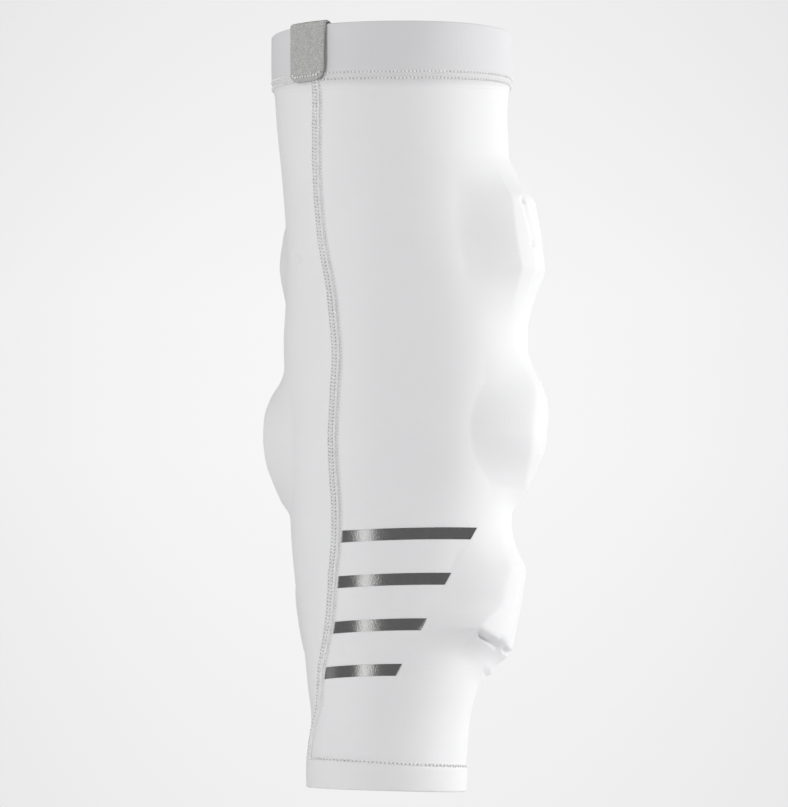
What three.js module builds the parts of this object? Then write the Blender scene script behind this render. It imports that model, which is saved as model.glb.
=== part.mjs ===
// Padded stretch arm sleeve for field sport: a knitted tube with two doubled cuffs, a flat side seam,
// four stripes, a folded pull tab, and three foam pads between the fabric and the back of the arm.
// Millimetres and degrees. The origin is the middle of the elbow on the arm's axis, +Z runs up the arm,
// and -Y is the front, which shows the inner side of the arm. "around" is an angle about Z from the
// front, growing towards +X: 90 is the right side, 180 the back and 270 the left side.
import * as THREE from "three";

// Lengths along the arm, and the outside of the fabric at the two openings and at the elbow
const UPPER_LENGTH = 202.6;
const FOREARM_LENGTH = 174.1;
const TOP_WIDTH = 119.7;
const TOP_DEPTH = 112;
const ELBOW_WIDTH = 116.5;
const ELBOW_DEPTH = 104;
const WRIST_WIDTH = 78;
const WRIST_DEPTH = 72;
const SQUARENESS = 2.2;

// Fabric and the play between pieces
const FABRIC_WALL = 1.4;
const PIECE_GAP = 0.35;

// Openings and the doubled cuffs at them
const TOP_TILT = 0.6;
const BOTTOM_TILT = -1.6;
const BOTTOM_LINE_TILT = -3;
const TOP_CUFF_HEIGHT = 26.1;
const TOP_CUFF_FRONT_DIP = 6.4;
const BOTTOM_CUFF_HEIGHT = 14;
const CUFF_PROUD = 1;

// Flat seam down the inner side
const SEAM_WIDTH = 6;
const SEAM_THICKNESS = 0.8;

// Stripes between the seam and a slanted line across the forearm
const STRIPE_COUNT = 4;
const STRIPE_HEIGHT = 5.8;
const STRIPE_PITCH = 22.2;
const FIRST_STRIPE_TOP = -45.3;
const FIRST_STRIPE_END = 36.3;
const STRIPE_END_SLOPE = 0.53;
const STRIPE_SEAM_DIP = 1.6;
const STRIPE_THICKNESS = 0.35;

// Pull tab folded over the top cuff
const TAB_AROUND = -43.3;
const TAB_WIDTH = 22;
const TAB_DROP = 28;
const TAB_INSIDE_DROP = 22;
const TAB_THICKNESS = 1.4;
const TAB_STANDOFF = 1.5;
const TAB_CORNER = 6;

// Pads: where their middles lie on the arm, how tall they are, how far one end drops towards the left
// side, how far they lift the fabric, the two side edges, and the fabric's bridge beyond each edge
const UPPER_PAD_MIDDLE = 97;
const UPPER_PAD_HEIGHT = 36;
const UPPER_PAD_DROP = 15;
const UPPER_PAD_RISE = 13.5;
const UPPER_PAD_RIGHT = 55.6;
const UPPER_PAD_LEFT = 243.4;
const UPPER_BRIDGE_SIDE = 26;
const UPPER_BRIDGE_ABOVE = 22;
const UPPER_BRIDGE_BELOW = 29;
const UPPER_BRIDGE_SAG = 1.35;
const UPPER_SIDE_SAG = 1.7;

const ELBOW_PAD_MIDDLE = -1.6;
const ELBOW_PAD_HEIGHT = 54;
const ELBOW_PAD_DROP = 5;
const ELBOW_PAD_RISE = 13.2;
const ELBOW_PAD_RIGHT = 61;
const ELBOW_PAD_LEFT = 264;
const ELBOW_BRIDGE_SIDE = 28;
const ELBOW_BRIDGE_ABOVE = 18;
const ELBOW_BRIDGE_BELOW = 11;
const ELBOW_BRIDGE_SAG = 1.5;
const ELBOW_SIDE_SAG = 1.4;

const FOREARM_PAD_MIDDLE = -84;
const FOREARM_PAD_HEIGHT = 40;
const FOREARM_PAD_DROP = 0;
const FOREARM_PAD_RISE = 12.6;
const FOREARM_PAD_RIGHT = 61;
const FOREARM_PAD_LEFT = 236;
const FOREARM_BRIDGE_SIDE = 27;
const FOREARM_BRIDGE_ABOVE = 24;
const FOREARM_BRIDGE_BELOW = 14;
const FOREARM_BRIDGE_SAG = 1.8;
const FOREARM_SIDE_SAG = 1.5;

const PAD_BEVEL = 9;

// Muscle inside the elbow, a low swell right of the front's middle
const MUSCLE_RISE = 3.2;
const MUSCLE_AROUND = 40;
const MUSCLE_HEIGHT = 8;
const MUSCLE_WIDTH = 27;
const MUSCLE_LENGTH = 62;

// Tuck of loose fabric under the forearm pad
const TUCK_RISE = 2.6;
const TUCK_AROUND = 84;
const TUCK_HEIGHT = -116;
const TUCK_WIDTH = 26;
const TUCK_DEPTH = 5.5;
const TUCK_SLOPE = -0.35;

// Sections of the arm. along: -1 at the lower opening, 0 at the elbow, 1 at the top opening. width and
// depth: shares of the size found straight between the elbow and that opening. sway: how far the
// section's middle lies to the right, a share of the elbow's width
const SECTIONS = [
  { along: -1.0, width: 1.0, depth: 1.0, sway: -0.058 },
  { along: -0.91, width: 0.97, depth: 0.98, sway: -0.054 },
  { along: -0.8, width: 0.922, depth: 0.96, sway: -0.039 },
  { along: -0.7, width: 0.947, depth: 0.97, sway: -0.03 },
  { along: -0.6, width: 0.971, depth: 0.99, sway: -0.02 },
  { along: -0.46, width: 1.012, depth: 1.02, sway: -0.009 },
  { along: -0.3, width: 1.029, depth: 1.03, sway: 0.001 },
  { along: -0.14, width: 1.011, depth: 1.01, sway: 0.007 },
  { along: 0.0, width: 1.0, depth: 1.0, sway: 0.014 },
  { along: 0.1, width: 1.02, depth: 1.0, sway: 0.021 },
  { along: 0.24, width: 1.041, depth: 0.99, sway: 0.024 },
  { along: 0.34, width: 1.015, depth: 0.99, sway: 0.02 },
  { along: 0.49, width: 0.971, depth: 0.99, sway: 0.003 },
  { along: 0.59, width: 0.963, depth: 1.0, sway: -0.01 },
  { along: 0.77, width: 0.972, depth: 1.0, sway: -0.034 },
  { along: 0.84, width: 0.98, depth: 1.0, sway: -0.037 },
  { along: 0.9, width: 0.998, depth: 1.0, sway: -0.034 },
  { along: 1.0, width: 1.0, depth: 1.0, sway: -0.032 },
];

// Route of the side seam's middle. across: its place as a share of the half width, left of the middle
const SEAM_ROUTE = [
  { along: -0.92, across: -0.97 },
  { along: -0.83, across: -0.965 },
  { along: -0.75, across: -0.88 },
  { along: -0.65, across: -0.815 },
  { along: -0.52, across: -0.69 },
  { along: -0.38, across: -0.625 },
  { along: -0.3, across: -0.59 },
  { along: -0.2, across: -0.58 },
  { along: -0.1, across: -0.597 },
  { along: 0.0, across: -0.603 },
  { along: 0.1, across: -0.585 },
  { along: 0.21, across: -0.563 },
  { along: 0.32, across: -0.6 },
  { along: 0.38, across: -0.627 },
  { along: 0.43, across: -0.66 },
  { along: 0.5, across: -0.69 },
  { along: 0.62, across: -0.69 },
  { along: 0.79, across: -0.64 },
  { along: 0.86, across: -0.635 },
];

// Shape of each pad. up: 0 at its lower edge, 1 at its upper edge. right and left: how far that side
// edge draws back, in degrees. rise: share of the pad's rise. across: 0 at the right edge, 1 at the left
// edge. lower and upper: how far that edge lies above its straight line, as a share of the pad's height.
// reach: share of the bridge's length above and below the pad
const PADS = [
  {
    name: "forearm_pad",
    middle: FOREARM_PAD_MIDDLE,
    height: FOREARM_PAD_HEIGHT,
    drop: FOREARM_PAD_DROP,
    lift: FOREARM_PAD_RISE,
    right: FOREARM_PAD_RIGHT,
    left: FOREARM_PAD_LEFT,
    bridge: { side: FOREARM_BRIDGE_SIDE, above: FOREARM_BRIDGE_ABOVE, below: FOREARM_BRIDGE_BELOW },
    sag: FOREARM_BRIDGE_SAG,
    sideSag: FOREARM_SIDE_SAG,
    sideRise: 0.92,
    sides: [
      { up: 0, right: -17, left: 6, rise: 1.0 },
      { up: 0.18, right: -11.5, left: 3, rise: 0.98 },
      { up: 0.36, right: -4.5, left: 1, rise: 0.95 },
      { up: 0.7, right: -3, left: 0, rise: 0.91 },
      { up: 1, right: 0, left: 5, rise: 0.86 },
    ],
    ends: [
      { across: 0, lower: 0.24, upper: 0, reach: 1 },
      { across: 0.13, lower: 0.08, upper: 0, reach: 1 },
      { across: 0.25, lower: -0.08, upper: 0, reach: 1 },
      { across: 0.55, lower: -0.18, upper: 0.03, reach: 1 },
      { across: 1, lower: -0.05, upper: 0, reach: 0.8 },
    ],
  },
  {
    name: "elbow_pad",
    middle: ELBOW_PAD_MIDDLE,
    height: ELBOW_PAD_HEIGHT,
    drop: ELBOW_PAD_DROP,
    lift: ELBOW_PAD_RISE,
    right: ELBOW_PAD_RIGHT,
    left: ELBOW_PAD_LEFT,
    bridge: { side: ELBOW_BRIDGE_SIDE, above: ELBOW_BRIDGE_ABOVE, below: ELBOW_BRIDGE_BELOW },
    sag: ELBOW_BRIDGE_SAG,
    sideSag: ELBOW_SIDE_SAG,
    sideRise: 0.96,
    sides: [
      { up: 0, right: 17, left: 10.5, rise: 0.47 },
      { up: 0.18, right: 8, left: 4.3, rise: 0.7 },
      { up: 0.36, right: 2.5, left: 2.3, rise: 0.95 },
      { up: 0.57, right: 0, left: 0, rise: 1.0 },
      { up: 0.8, right: 1.5, left: 1, rise: 0.93 },
      { up: 1, right: 6, left: 5, rise: 0.65 },
    ],
    ends: [
      { across: 0, lower: 0.015, upper: -0.015, reach: 1 },
      { across: 0.5, lower: -0.1, upper: 0.06, reach: 1 },
      { across: 1, lower: -0.025, upper: 0.02, reach: 0.7 },
    ],
  },
  {
    name: "upper_arm_pad",
    middle: UPPER_PAD_MIDDLE,
    height: UPPER_PAD_HEIGHT,
    drop: UPPER_PAD_DROP,
    lift: UPPER_PAD_RISE,
    right: UPPER_PAD_RIGHT,
    left: UPPER_PAD_LEFT,
    bridge: { side: UPPER_BRIDGE_SIDE, above: UPPER_BRIDGE_ABOVE, below: UPPER_BRIDGE_BELOW },
    sag: UPPER_BRIDGE_SAG,
    sideSag: UPPER_SIDE_SAG,
    sideRise: 0.85,
    sides: [
      { up: 0, right: 2, left: 4, rise: 0.95 },
      { up: 0.5, right: 0, left: 0, rise: 1.0 },
      { up: 1, right: 1, left: 3, rise: 0.88 },
    ],
    ends: [
      { across: 0, lower: -0.1, upper: -0.12, reach: 1 },
      { across: 0.17, lower: 0, upper: 0, reach: 1 },
      { across: 0.5, lower: -0.08, upper: 0.06, reach: 1 },
      { across: 1, lower: 0, upper: 0, reach: 0.35 },
    ],
  },
];

// Outlines of the cuffs in section. up: share of the cuff's height. proud: share of CUFF_PROUD
const TOP_CUFF_OUTLINE = [
  { up: 0, proud: 0.1 },
  { up: 0.12, proud: 0.9 },
  { up: 0.28, proud: 1 },
  { up: 0.95, proud: 1 },
  { up: 1, proud: 0.5 },
];
const BOTTOM_CUFF_OUTLINE = [
  { up: 0, proud: 0.2 },
  { up: 0.12, proud: 0.7 },
  { up: 0.85, proud: 0.8 },
  { up: 1, proud: 0.3 },
];

// Facets: columns over the front and over the back, and rows in each band from the lower cuff up
const FRONT_COLUMNS = 20;
const BACK_COLUMNS = 26;
const BAND_ROWS = { cuff: 5, pad: 6, between: 4 };
const SEAM_STEPS = 44;
const STRIPE_STEPS = 12;
const TAB_STEPS = 6;

const radians = THREE.MathUtils.degToRad;
const degrees = THREE.MathUtils.radToDeg;
const mix = THREE.MathUtils.lerp;
const clamp = THREE.MathUtils.clamp;
const slopeOf = (angle) => Math.tan(radians(angle));
const wrapped = (angle) => THREE.MathUtils.euclideanModulo(angle + 180, 360) - 180;

// A smooth curve through one column of a table whose rows are in the order of their key column.
function column(rows, key, name, at) {
  const last = rows.length - 1;
  const slopeAt = (i) => {
    const before = rows[Math.max(i - 1, 0)];
    const after = rows[Math.min(i + 1, last)];
    return (after[name] - before[name]) / (after[key] - before[key]);
  };
  let i = 0;
  while (i < last - 1 && at > rows[i + 1][key]) i += 1;
  const span = rows[i + 1][key] - rows[i][key];
  const t = clamp((at - rows[i][key]) / span, 0, 1);
  const rest = 1 - t;
  const start = rows[i][name] * (1 + 2 * t) * rest * rest + slopeAt(i) * span * t * rest * rest;
  const end = rows[i + 1][name] * (3 - 2 * t) * t * t - slopeAt(i + 1) * span * rest * t * t;
  return start + end;
}

const alongArm = (height) => height / (height < 0 ? FOREARM_LENGTH : UPPER_LENGTH);

// Half width, half depth and middle of the arm's section at a height.
function sectionAt(height) {
  const along = alongArm(height);
  const share = Math.abs(along);
  const endWidth = along < 0 ? WRIST_WIDTH : TOP_WIDTH;
  const endDepth = along < 0 ? WRIST_DEPTH : TOP_DEPTH;
  return {
    width: (mix(ELBOW_WIDTH, endWidth, share) / 2) * column(SECTIONS, "along", "width", along),
    depth: (mix(ELBOW_DEPTH, endDepth, share) / 2) * column(SECTIONS, "along", "depth", along),
    middle: ELBOW_WIDTH * column(SECTIONS, "along", "sway", along),
  };
}

// Distance from the section's middle to the fabric lying on the arm, without pads.
function armRadius(section, around) {
  const sideways = Math.abs(Math.sin(radians(around)) / section.width) ** SQUARENESS;
  const forwards = Math.abs(Math.cos(radians(around)) / section.depth) ** SQUARENESS;
  return (sideways + forwards) ** (-1 / SQUARENESS);
}

// The angle at which the arm's front is at a share of the half width from the middle.
function aroundAt(section, across) {
  const forwards = (1 - Math.abs(across) ** SQUARENESS) ** (1 / SQUARENESS);
  return degrees(Math.atan2(section.width * across, section.depth * forwards));
}

const rightEdge = (pad, up) => pad.right + column(pad.sides, "up", "right", up);
const leftEdge = (pad, up) => pad.left - column(pad.sides, "up", "left", up);
const straightEdge = (pad, across, end) => pad.middle + (end * pad.height) / 2 + pad.drop * (0.5 - across);

function lowerEdge(pad, across) {
  return straightEdge(pad, across, -1) + pad.height * column(pad.ends, "across", "lower", across);
}

function upperEdge(pad, across) {
  return straightEdge(pad, across, 1) + pad.height * column(pad.ends, "across", "upper", across);
}

// How far round and how far up a pad a place on the arm is, each 0 to 1 between the pad's edges.
function placeOnPad(pad, around, height) {
  const opposite = (pad.right + pad.left) / 2 - 180;
  const turned = opposite + 180 + wrapped(around - opposite - 180);
  let across = 0.5;
  let up = 0.5;
  for (let i = 0; i < 6; i += 1) {
    const right = rightEdge(pad, up);
    const reach = leftEdge(pad, up) - right;
    across = (turned - right) / reach;
    const lower = lowerEdge(pad, clamp(across, 0, 1));
    up = (height - lower) / (upperEdge(pad, clamp(across, 0, 1)) - lower);
  }
  return { across, up };
}

// How much of a pad's rise the fabric keeps at a distance beyond its edge.
const bridgeShare = (distance, reach, sag) => clamp(1 - Math.max(distance, 0) / reach, 0, 1) ** sag;

// How far one pad holds the fabric off the arm at a place.
function padRise(pad, around, height, radius) {
  const { across, up } = placeOnPad(pad, around, height);
  const level = clamp(up, 0, 1);
  const round = radians(leftEdge(pad, level) - rightEdge(pad, level)) * radius;
  const side = clamp(across, 0, 1);
  const tall = upperEdge(pad, side) - lowerEdge(pad, side);
  const inside = Math.min(across, 1 - across) * round;
  const bevel = mix(pad.sideRise, 1, clamp(inside / PAD_BEVEL, 0, 1));
  const reach = column(pad.ends, "across", "reach", side);
  const beyondSide = bridgeShare(-inside, pad.bridge.side, pad.sideSag);
  const beyondEnd = up > 0.5
    ? bridgeShare((up - 1) * tall, pad.bridge.above * reach, pad.sag)
    : bridgeShare(-up * tall, pad.bridge.below * reach, pad.sag);
  return pad.lift * column(pad.sides, "up", "rise", level) * bevel * beyondSide * beyondEnd;
}

// The tuck's height over the fabric at a place.
function tuckRise(around, height) {
  const aside = wrapped(around - TUCK_AROUND);
  const middle = TUCK_HEIGHT + TUCK_SLOPE * aside * radians(WRIST_WIDTH / 2);
  return TUCK_RISE * Math.exp(-((aside / TUCK_WIDTH) ** 2) - ((height - middle) / TUCK_DEPTH) ** 2);
}

// The muscle's height over the plain section at a place.
function muscleRise(around, height) {
  const aside = wrapped(around - MUSCLE_AROUND) / MUSCLE_WIDTH;
  const above = (height - MUSCLE_HEIGHT) / MUSCLE_LENGTH;
  return MUSCLE_RISE * Math.exp(-aside * aside - above * above);
}

// A point on the outside of the sleeve, moved out from the section's middle by an offset.
function fabricPoint(around, height, offset = 0) {
  const section = sectionAt(height);
  const flat = armRadius(section, around) + muscleRise(around, height);
  const rise = Math.max(...PADS.map((pad) => padRise(pad, around, height, flat)));
  return polarPoint(section, around, height, flat + rise + tuckRise(around, height) + offset);
}

// The same for the bare arm under the pads, and under the cuffs, which no pad reaches.
function armPoint(around, height, offset = 0) {
  const section = sectionAt(height);
  const radius = armRadius(section, around) + muscleRise(around, height);
  return polarPoint(section, around, height, radius + offset);
}

function polarPoint(section, around, height, radius) {
  const x = section.middle + radius * Math.sin(radians(around));
  return new THREE.Vector3(x, -radius * Math.cos(radians(around)), height);
}

const sideways = (around, height) => armPoint(around, height).x;

// Heights of the openings' rims and of the lines where the cuffs meet the sleeve.
const topRim = (around) => UPPER_LENGTH + slopeOf(TOP_TILT) * sideways(around, UPPER_LENGTH);
const bottomRim = (around) => -FOREARM_LENGTH + slopeOf(BOTTOM_TILT) * sideways(around, -FOREARM_LENGTH);

function bottomCuffLine(around) {
  const middle = -FOREARM_LENGTH + BOTTOM_CUFF_HEIGHT;
  return middle + slopeOf(BOTTOM_LINE_TILT) * sideways(around, middle);
}

function topCuffLine(around) {
  const frontness = ((1 + Math.cos(radians(around))) / 2) ** 2;
  return topRim(around) - TOP_CUFF_HEIGHT - TOP_CUFF_FRONT_DIP * frontness;
}

// Rows of the sleeve, from its lower end up. Each row gives the height and the angle of a column, so
// that rows and columns run along the pads' edges.
function sleeveLevels() {
  const first = {
    right: rightEdge(PADS[0], 0),
    left: leftEdge(PADS[0], 0),
    height: (p) => bottomCuffLine(p.around) + PIECE_GAP,
  };
  const levels = [];
  const addBand = (from, to, rows) => {
    for (let i = 0; i < rows; i += 1) {
      const t = i / rows;
      levels.push({
        right: mix(from.right, to.right, t),
        left: mix(from.left, to.left, t),
        height: (p) => mix(from.height(p), to.height(p), t),
      });
    }
  };
  const padEnd = (pad, up) => ({
    right: rightEdge(pad, up),
    left: leftEdge(pad, up),
    height: (p) => (up ? upperEdge(pad, p.across) : lowerEdge(pad, p.across)),
  });
  let below = first;
  PADS.forEach((pad, i) => {
    addBand(below, padEnd(pad, 0), i ? BAND_ROWS.between : BAND_ROWS.cuff);
    pad.firstRow = levels.length;
    for (let row = 0; row < BAND_ROWS.pad; row += 1) {
      const up = row / BAND_ROWS.pad;
      levels.push({
        right: rightEdge(pad, up),
        left: leftEdge(pad, up),
        height: (p) => mix(lowerEdge(pad, p.across), upperEdge(pad, p.across), up),
      });
    }
    below = padEnd(pad, 1);
  });
  const last = {
    right: below.right,
    left: below.left,
    height: (p) => topCuffLine(p.around) - PIECE_GAP,
  };
  addBand(below, last, BAND_ROWS.cuff);
  levels.push(last);
  return levels;
}

// Columns of one row: over the back from the right edge to the left edge, then over the front.
function levelPlaces(level) {
  const places = [];
  for (let i = 0; i < BACK_COLUMNS; i += 1) {
    const across = i / BACK_COLUMNS;
    places.push({ across, around: mix(level.right, level.left, across) });
  }
  for (let i = 0; i < FRONT_COLUMNS; i += 1) {
    const t = i / FRONT_COLUMNS;
    places.push({ across: 1 - t, around: mix(level.left, level.right + 360, t) });
  }
  return places.map((p) => ({ ...p, height: level.height(p) }));
}

// Directions out of a net of points that closes on itself along each row.
function netNormals(net) {
  return net.map((row, i) =>
    row.map((_, j) => {
      const up = net[Math.min(i + 1, net.length - 1)][j].clone().sub(net[Math.max(i - 1, 0)][j]);
      const round = row[(j + 1) % row.length].clone().sub(row[(j + row.length - 1) % row.length]);
      const out = round.cross(up);
      const isRim = i === 0 || i === net.length - 1;
      if (isRim) out.z = 0;
      return out.normalize();
    }),
  );
}

function offsetNet(net, normals, distance) {
  return net.map((row, i) => row.map((p, j) => p.clone().addScaledVector(normals[i][j], distance)));
}

// One closed body from points and triangles, turned so that its faces point out.
function closedGeometry(points, triangles) {
  let volume = 0;
  triangles.forEach(([a, b, c]) => {
    volume += points[a].dot(points[b].clone().cross(points[c]));
  });
  const facing = volume < 0 ? triangles.map(([a, b, c]) => [a, c, b]) : triangles;
  const geometry = new THREE.BufferGeometry().setFromPoints(points);
  geometry.setIndex(facing.flat());
  geometry.computeVertexNormals();
  return geometry;
}

// Two triangles for each cell of a net whose point numbers are given by a function of row and column.
function cells(rows, columns, at, isTurned) {
  const triangles = [];
  for (let i = 0; i < rows; i += 1) {
    for (let j = 0; j < columns; j += 1) {
      const [a, b, c, d] = [at(i, j), at(i, j + 1), at(i + 1, j + 1), at(i + 1, j)];
      triangles.push(isTurned ? [a, c, b] : [a, b, c], isTurned ? [a, d, c] : [a, c, d]);
    }
  }
  return triangles;
}

// A tube wall between an outer and an inner net that close on themselves along each row.
function tubeGeometry(outer, inner) {
  const rows = outer.length - 1;
  const round = outer[0].length;
  const points = [...outer.flat(), ...inner.flat()];
  const outerAt = (i, j) => i * round + (j % round);
  const innerAt = (i, j) => outer.length * round + outerAt(i, j);
  const lowerRim = (i, j) => (i ? outerAt(0, j) : innerAt(0, j));
  const upperRim = (i, j) => (i ? innerAt(rows, j) : outerAt(rows, j));
  return closedGeometry(points, [
    ...cells(rows, round, outerAt, false),
    ...cells(rows, round, innerAt, true),
    ...cells(1, round, lowerRim, false),
    ...cells(1, round, upperRim, false),
  ]);
}

// A slab between an outer and an inner net with four free edges.
function slabGeometry(outer, inner) {
  const rows = outer.length - 1;
  const columns = outer[0].length - 1;
  const points = [...outer.flat(), ...inner.flat()];
  const outerAt = (i, j) => i * (columns + 1) + j;
  const innerAt = (i, j) => outer.length * (columns + 1) + outerAt(i, j);
  return closedGeometry(points, [
    ...cells(rows, columns, outerAt, false),
    ...cells(rows, columns, innerAt, true),
    ...cells(1, columns, (i, j) => (i ? outerAt(0, j) : innerAt(0, j)), false),
    ...cells(1, columns, (i, j) => (i ? innerAt(rows, j) : outerAt(rows, j)), false),
    ...cells(1, rows, (i, j) => (i ? outerAt(j, 0) : innerAt(j, 0)), true),
    ...cells(1, rows, (i, j) => (i ? outerAt(j, columns) : innerAt(j, columns)), false),
  ]);
}

const whiteKnit = new THREE.MeshStandardMaterial({ color: 0xf1f1f2, roughness: 0.72, metalness: 0 });
const seamKnit = new THREE.MeshStandardMaterial({ color: 0xe9e9ea, roughness: 0.8, metalness: 0 });
const greyFilm = new THREE.MeshStandardMaterial({ color: 0x6a6a6a, roughness: 0.4, metalness: 0.2 });
const greyRibbon = new THREE.MeshStandardMaterial({ color: 0xaaaaa6, roughness: 0.85, metalness: 0 });
const greyFoam = new THREE.MeshStandardMaterial({ color: 0xd8d8da, roughness: 0.9, metalness: 0 });

function piece(name, geometry, material) {
  const mesh = new THREE.Mesh(geometry, material);
  mesh.name = name;
  return mesh;
}

function cuffGeometry(outline, lowerLine, upperLine, angles) {
  const netAt = (offsetOf) =>
    outline.map((row) =>
      angles.map((around) => {
        const height = mix(lowerLine(around), upperLine(around), row.up);
        return armPoint(around, height, offsetOf(row));
      }),
    );
  return tubeGeometry(
    netAt((row) => CUFF_PROUD * row.proud),
    netAt(() => -FABRIC_WALL),
  );
}

// Where the seam's middle is at a height, and how many degrees half its width takes there.
function seamAt(height) {
  const section = sectionAt(height);
  const around = aroundAt(section, column(SEAM_ROUTE, "along", "across", alongArm(height)));
  return { around, half: degrees(SEAM_WIDTH / 2 / armRadius(section, around)) };
}

function seamGeometry() {
  const start = seamAt(-FOREARM_LENGTH + BOTTOM_CUFF_HEIGHT).around;
  const end = seamAt(UPPER_LENGTH - TOP_CUFF_HEIGHT).around;
  const netAt = (offset) => {
    const net = [];
    for (let i = 0; i <= SEAM_STEPS; i += 1) {
      const t = i / SEAM_STEPS;
      const seam = seamAt(mix(bottomCuffLine(start), topCuffLine(end), t));
      net.push(
        [-1, 0, 1].map((side) => {
          const around = seam.around + side * seam.half;
          const lower = bottomCuffLine(around) + PIECE_GAP;
          return fabricPoint(around, mix(lower, topCuffLine(around) - PIECE_GAP, t), offset);
        }),
      );
    }
    return net;
  };
  return slabGeometry(netAt(PIECE_GAP + SEAM_THICKNESS), netAt(PIECE_GAP));
}

function stripeGeometry(index) {
  const top = FIRST_STRIPE_TOP - index * STRIPE_PITCH;
  const angleAt = (height, t) => {
    const section = sectionAt(height);
    const seam = seamAt(height);
    const start = seam.around + seam.half + degrees(PIECE_GAP / section.depth);
    const endX = FIRST_STRIPE_END - STRIPE_END_SLOPE * (FIRST_STRIPE_TOP - height);
    return mix(start, aroundAt(section, (endX - section.middle) / section.width), t);
  };
  const netAt = (offset) =>
    [top - STRIPE_HEIGHT, top].map((height) => {
      const row = [];
      for (let i = 0; i <= STRIPE_STEPS; i += 1) {
        const t = i / STRIPE_STEPS;
        const dip = STRIPE_SEAM_DIP * (1 - t) * (1 - t);
        row.push(fabricPoint(angleAt(height, t), height - dip, offset));
      }
      return row;
    });
  return slabGeometry(netAt(PIECE_GAP + STRIPE_THICKNESS), netAt(PIECE_GAP));
}

// The ribbon in section, from the outer leaf's lower end over the rim to the inner leaf's lower end.
function tabSection(around, share) {
  const rim = topRim(around);
  const fromCorner = Math.min(share, 1 - share) * TAB_WIDTH;
  const shortBy = TAB_CORNER - Math.sqrt(TAB_CORNER ** 2 - Math.max(TAB_CORNER - fromCorner, 0) ** 2);
  const outerLow = rim - TAB_DROP + shortBy;
  const innerLow = rim - TAB_INSIDE_DROP;
  const standoff = TAB_STANDOFF * share * share;
  const leafIn = CUFF_PROUD + PIECE_GAP + standoff;
  const leafOut = leafIn + TAB_THICKNESS;
  const insideOut = -FABRIC_WALL - PIECE_GAP;
  const insideIn = insideOut - TAB_THICKNESS;
  const over = rim + PIECE_GAP;
  const fold = TAB_THICKNESS * 0.6;
  return [
    [leafOut, outerLow],
    [leafOut, over],
    [leafOut - fold, over + TAB_THICKNESS],
    [insideIn + fold, over + TAB_THICKNESS],
    [insideIn, over],
    [insideIn, innerLow],
    [insideOut, innerLow],
    [insideOut, over],
    [leafIn, over],
    [leafIn, outerLow],
  ];
}

function tabGeometry() {
  const radius = armRadius(sectionAt(UPPER_LENGTH), TAB_AROUND);
  const half = degrees(TAB_WIDTH / 2 / radius);
  const rings = [];
  for (let i = 0; i <= TAB_STEPS; i += 1) {
    const share = i / TAB_STEPS;
    const around = TAB_AROUND + mix(-half, half, share);
    rings.push(tabSection(around, share).map(([offset, height]) => armPoint(around, height, offset)));
  }
  const corners = rings[0].length;
  const sideAt = (i, j) => i * corners + (j % corners);
  const flat = tabSection(TAB_AROUND, 0).map(([offset, height]) => new THREE.Vector2(offset, height));
  const cap = THREE.ShapeUtils.triangulateShape(flat, []);
  const farCap = cap.map((corner) => corner.map((i) => TAB_STEPS * corners + i));
  return closedGeometry(rings.flat(), [
    ...cells(TAB_STEPS, corners, sideAt, false),
    ...cap.map(([a, b, c]) => [a, c, b]),
    ...farCap,
  ]);
}

// A pad fills the space between the fabric and the arm inside its own edges.
function padGeometry(pad, net, normals, places) {
  const rows = [];
  for (let i = 0; i <= BAND_ROWS.pad; i += 1) rows.push(pad.firstRow + i);
  const columns = [];
  for (let j = 0; j <= BACK_COLUMNS; j += 1) columns.push(j);
  const outer = rows.map((i) =>
    columns.map((j) => net[i][j].clone().addScaledVector(normals[i][j], -FABRIC_WALL - PIECE_GAP)),
  );
  const inner = rows.map((i, r) =>
    columns.map((j, c) => armPoint(places[i][j].around, outer[r][c].z, -FABRIC_WALL)),
  );
  return slabGeometry(outer, inner);
}

const levels = sleeveLevels();
const places = levels.map(levelPlaces);
const outerNet = places.map((row) => row.map((p) => fabricPoint(p.around, p.height)));
const outerNormals = netNormals(outerNet);
const innerNet = offsetNet(outerNet, outerNormals, -FABRIC_WALL);
const lowerAngles = places[0].map((p) => p.around);
const upperAngles = places[places.length - 1].map((p) => p.around);

const sleeve = new THREE.Group();
sleeve.add(piece("sleeve", tubeGeometry(outerNet, innerNet), whiteKnit));
const topCuff = cuffGeometry(TOP_CUFF_OUTLINE, topCuffLine, topRim, upperAngles);
const bottomCuff = cuffGeometry(BOTTOM_CUFF_OUTLINE, bottomRim, bottomCuffLine, lowerAngles);
sleeve.add(piece("top_cuff", topCuff, whiteKnit));
sleeve.add(piece("bottom_cuff", bottomCuff, whiteKnit));
sleeve.add(piece("side_seam", seamGeometry(), seamKnit));
sleeve.add(piece("pull_tab", tabGeometry(), greyRibbon));
PADS.forEach((pad) => {
  sleeve.add(piece(pad.name, padGeometry(pad, outerNet, outerNormals, places), greyFoam));
});
for (let i = 0; i < STRIPE_COUNT; i += 1) {
  sleeve.add(piece(`stripe_${i + 1}`, stripeGeometry(i), greyFilm));
}

export default sleeve;
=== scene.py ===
import math

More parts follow.
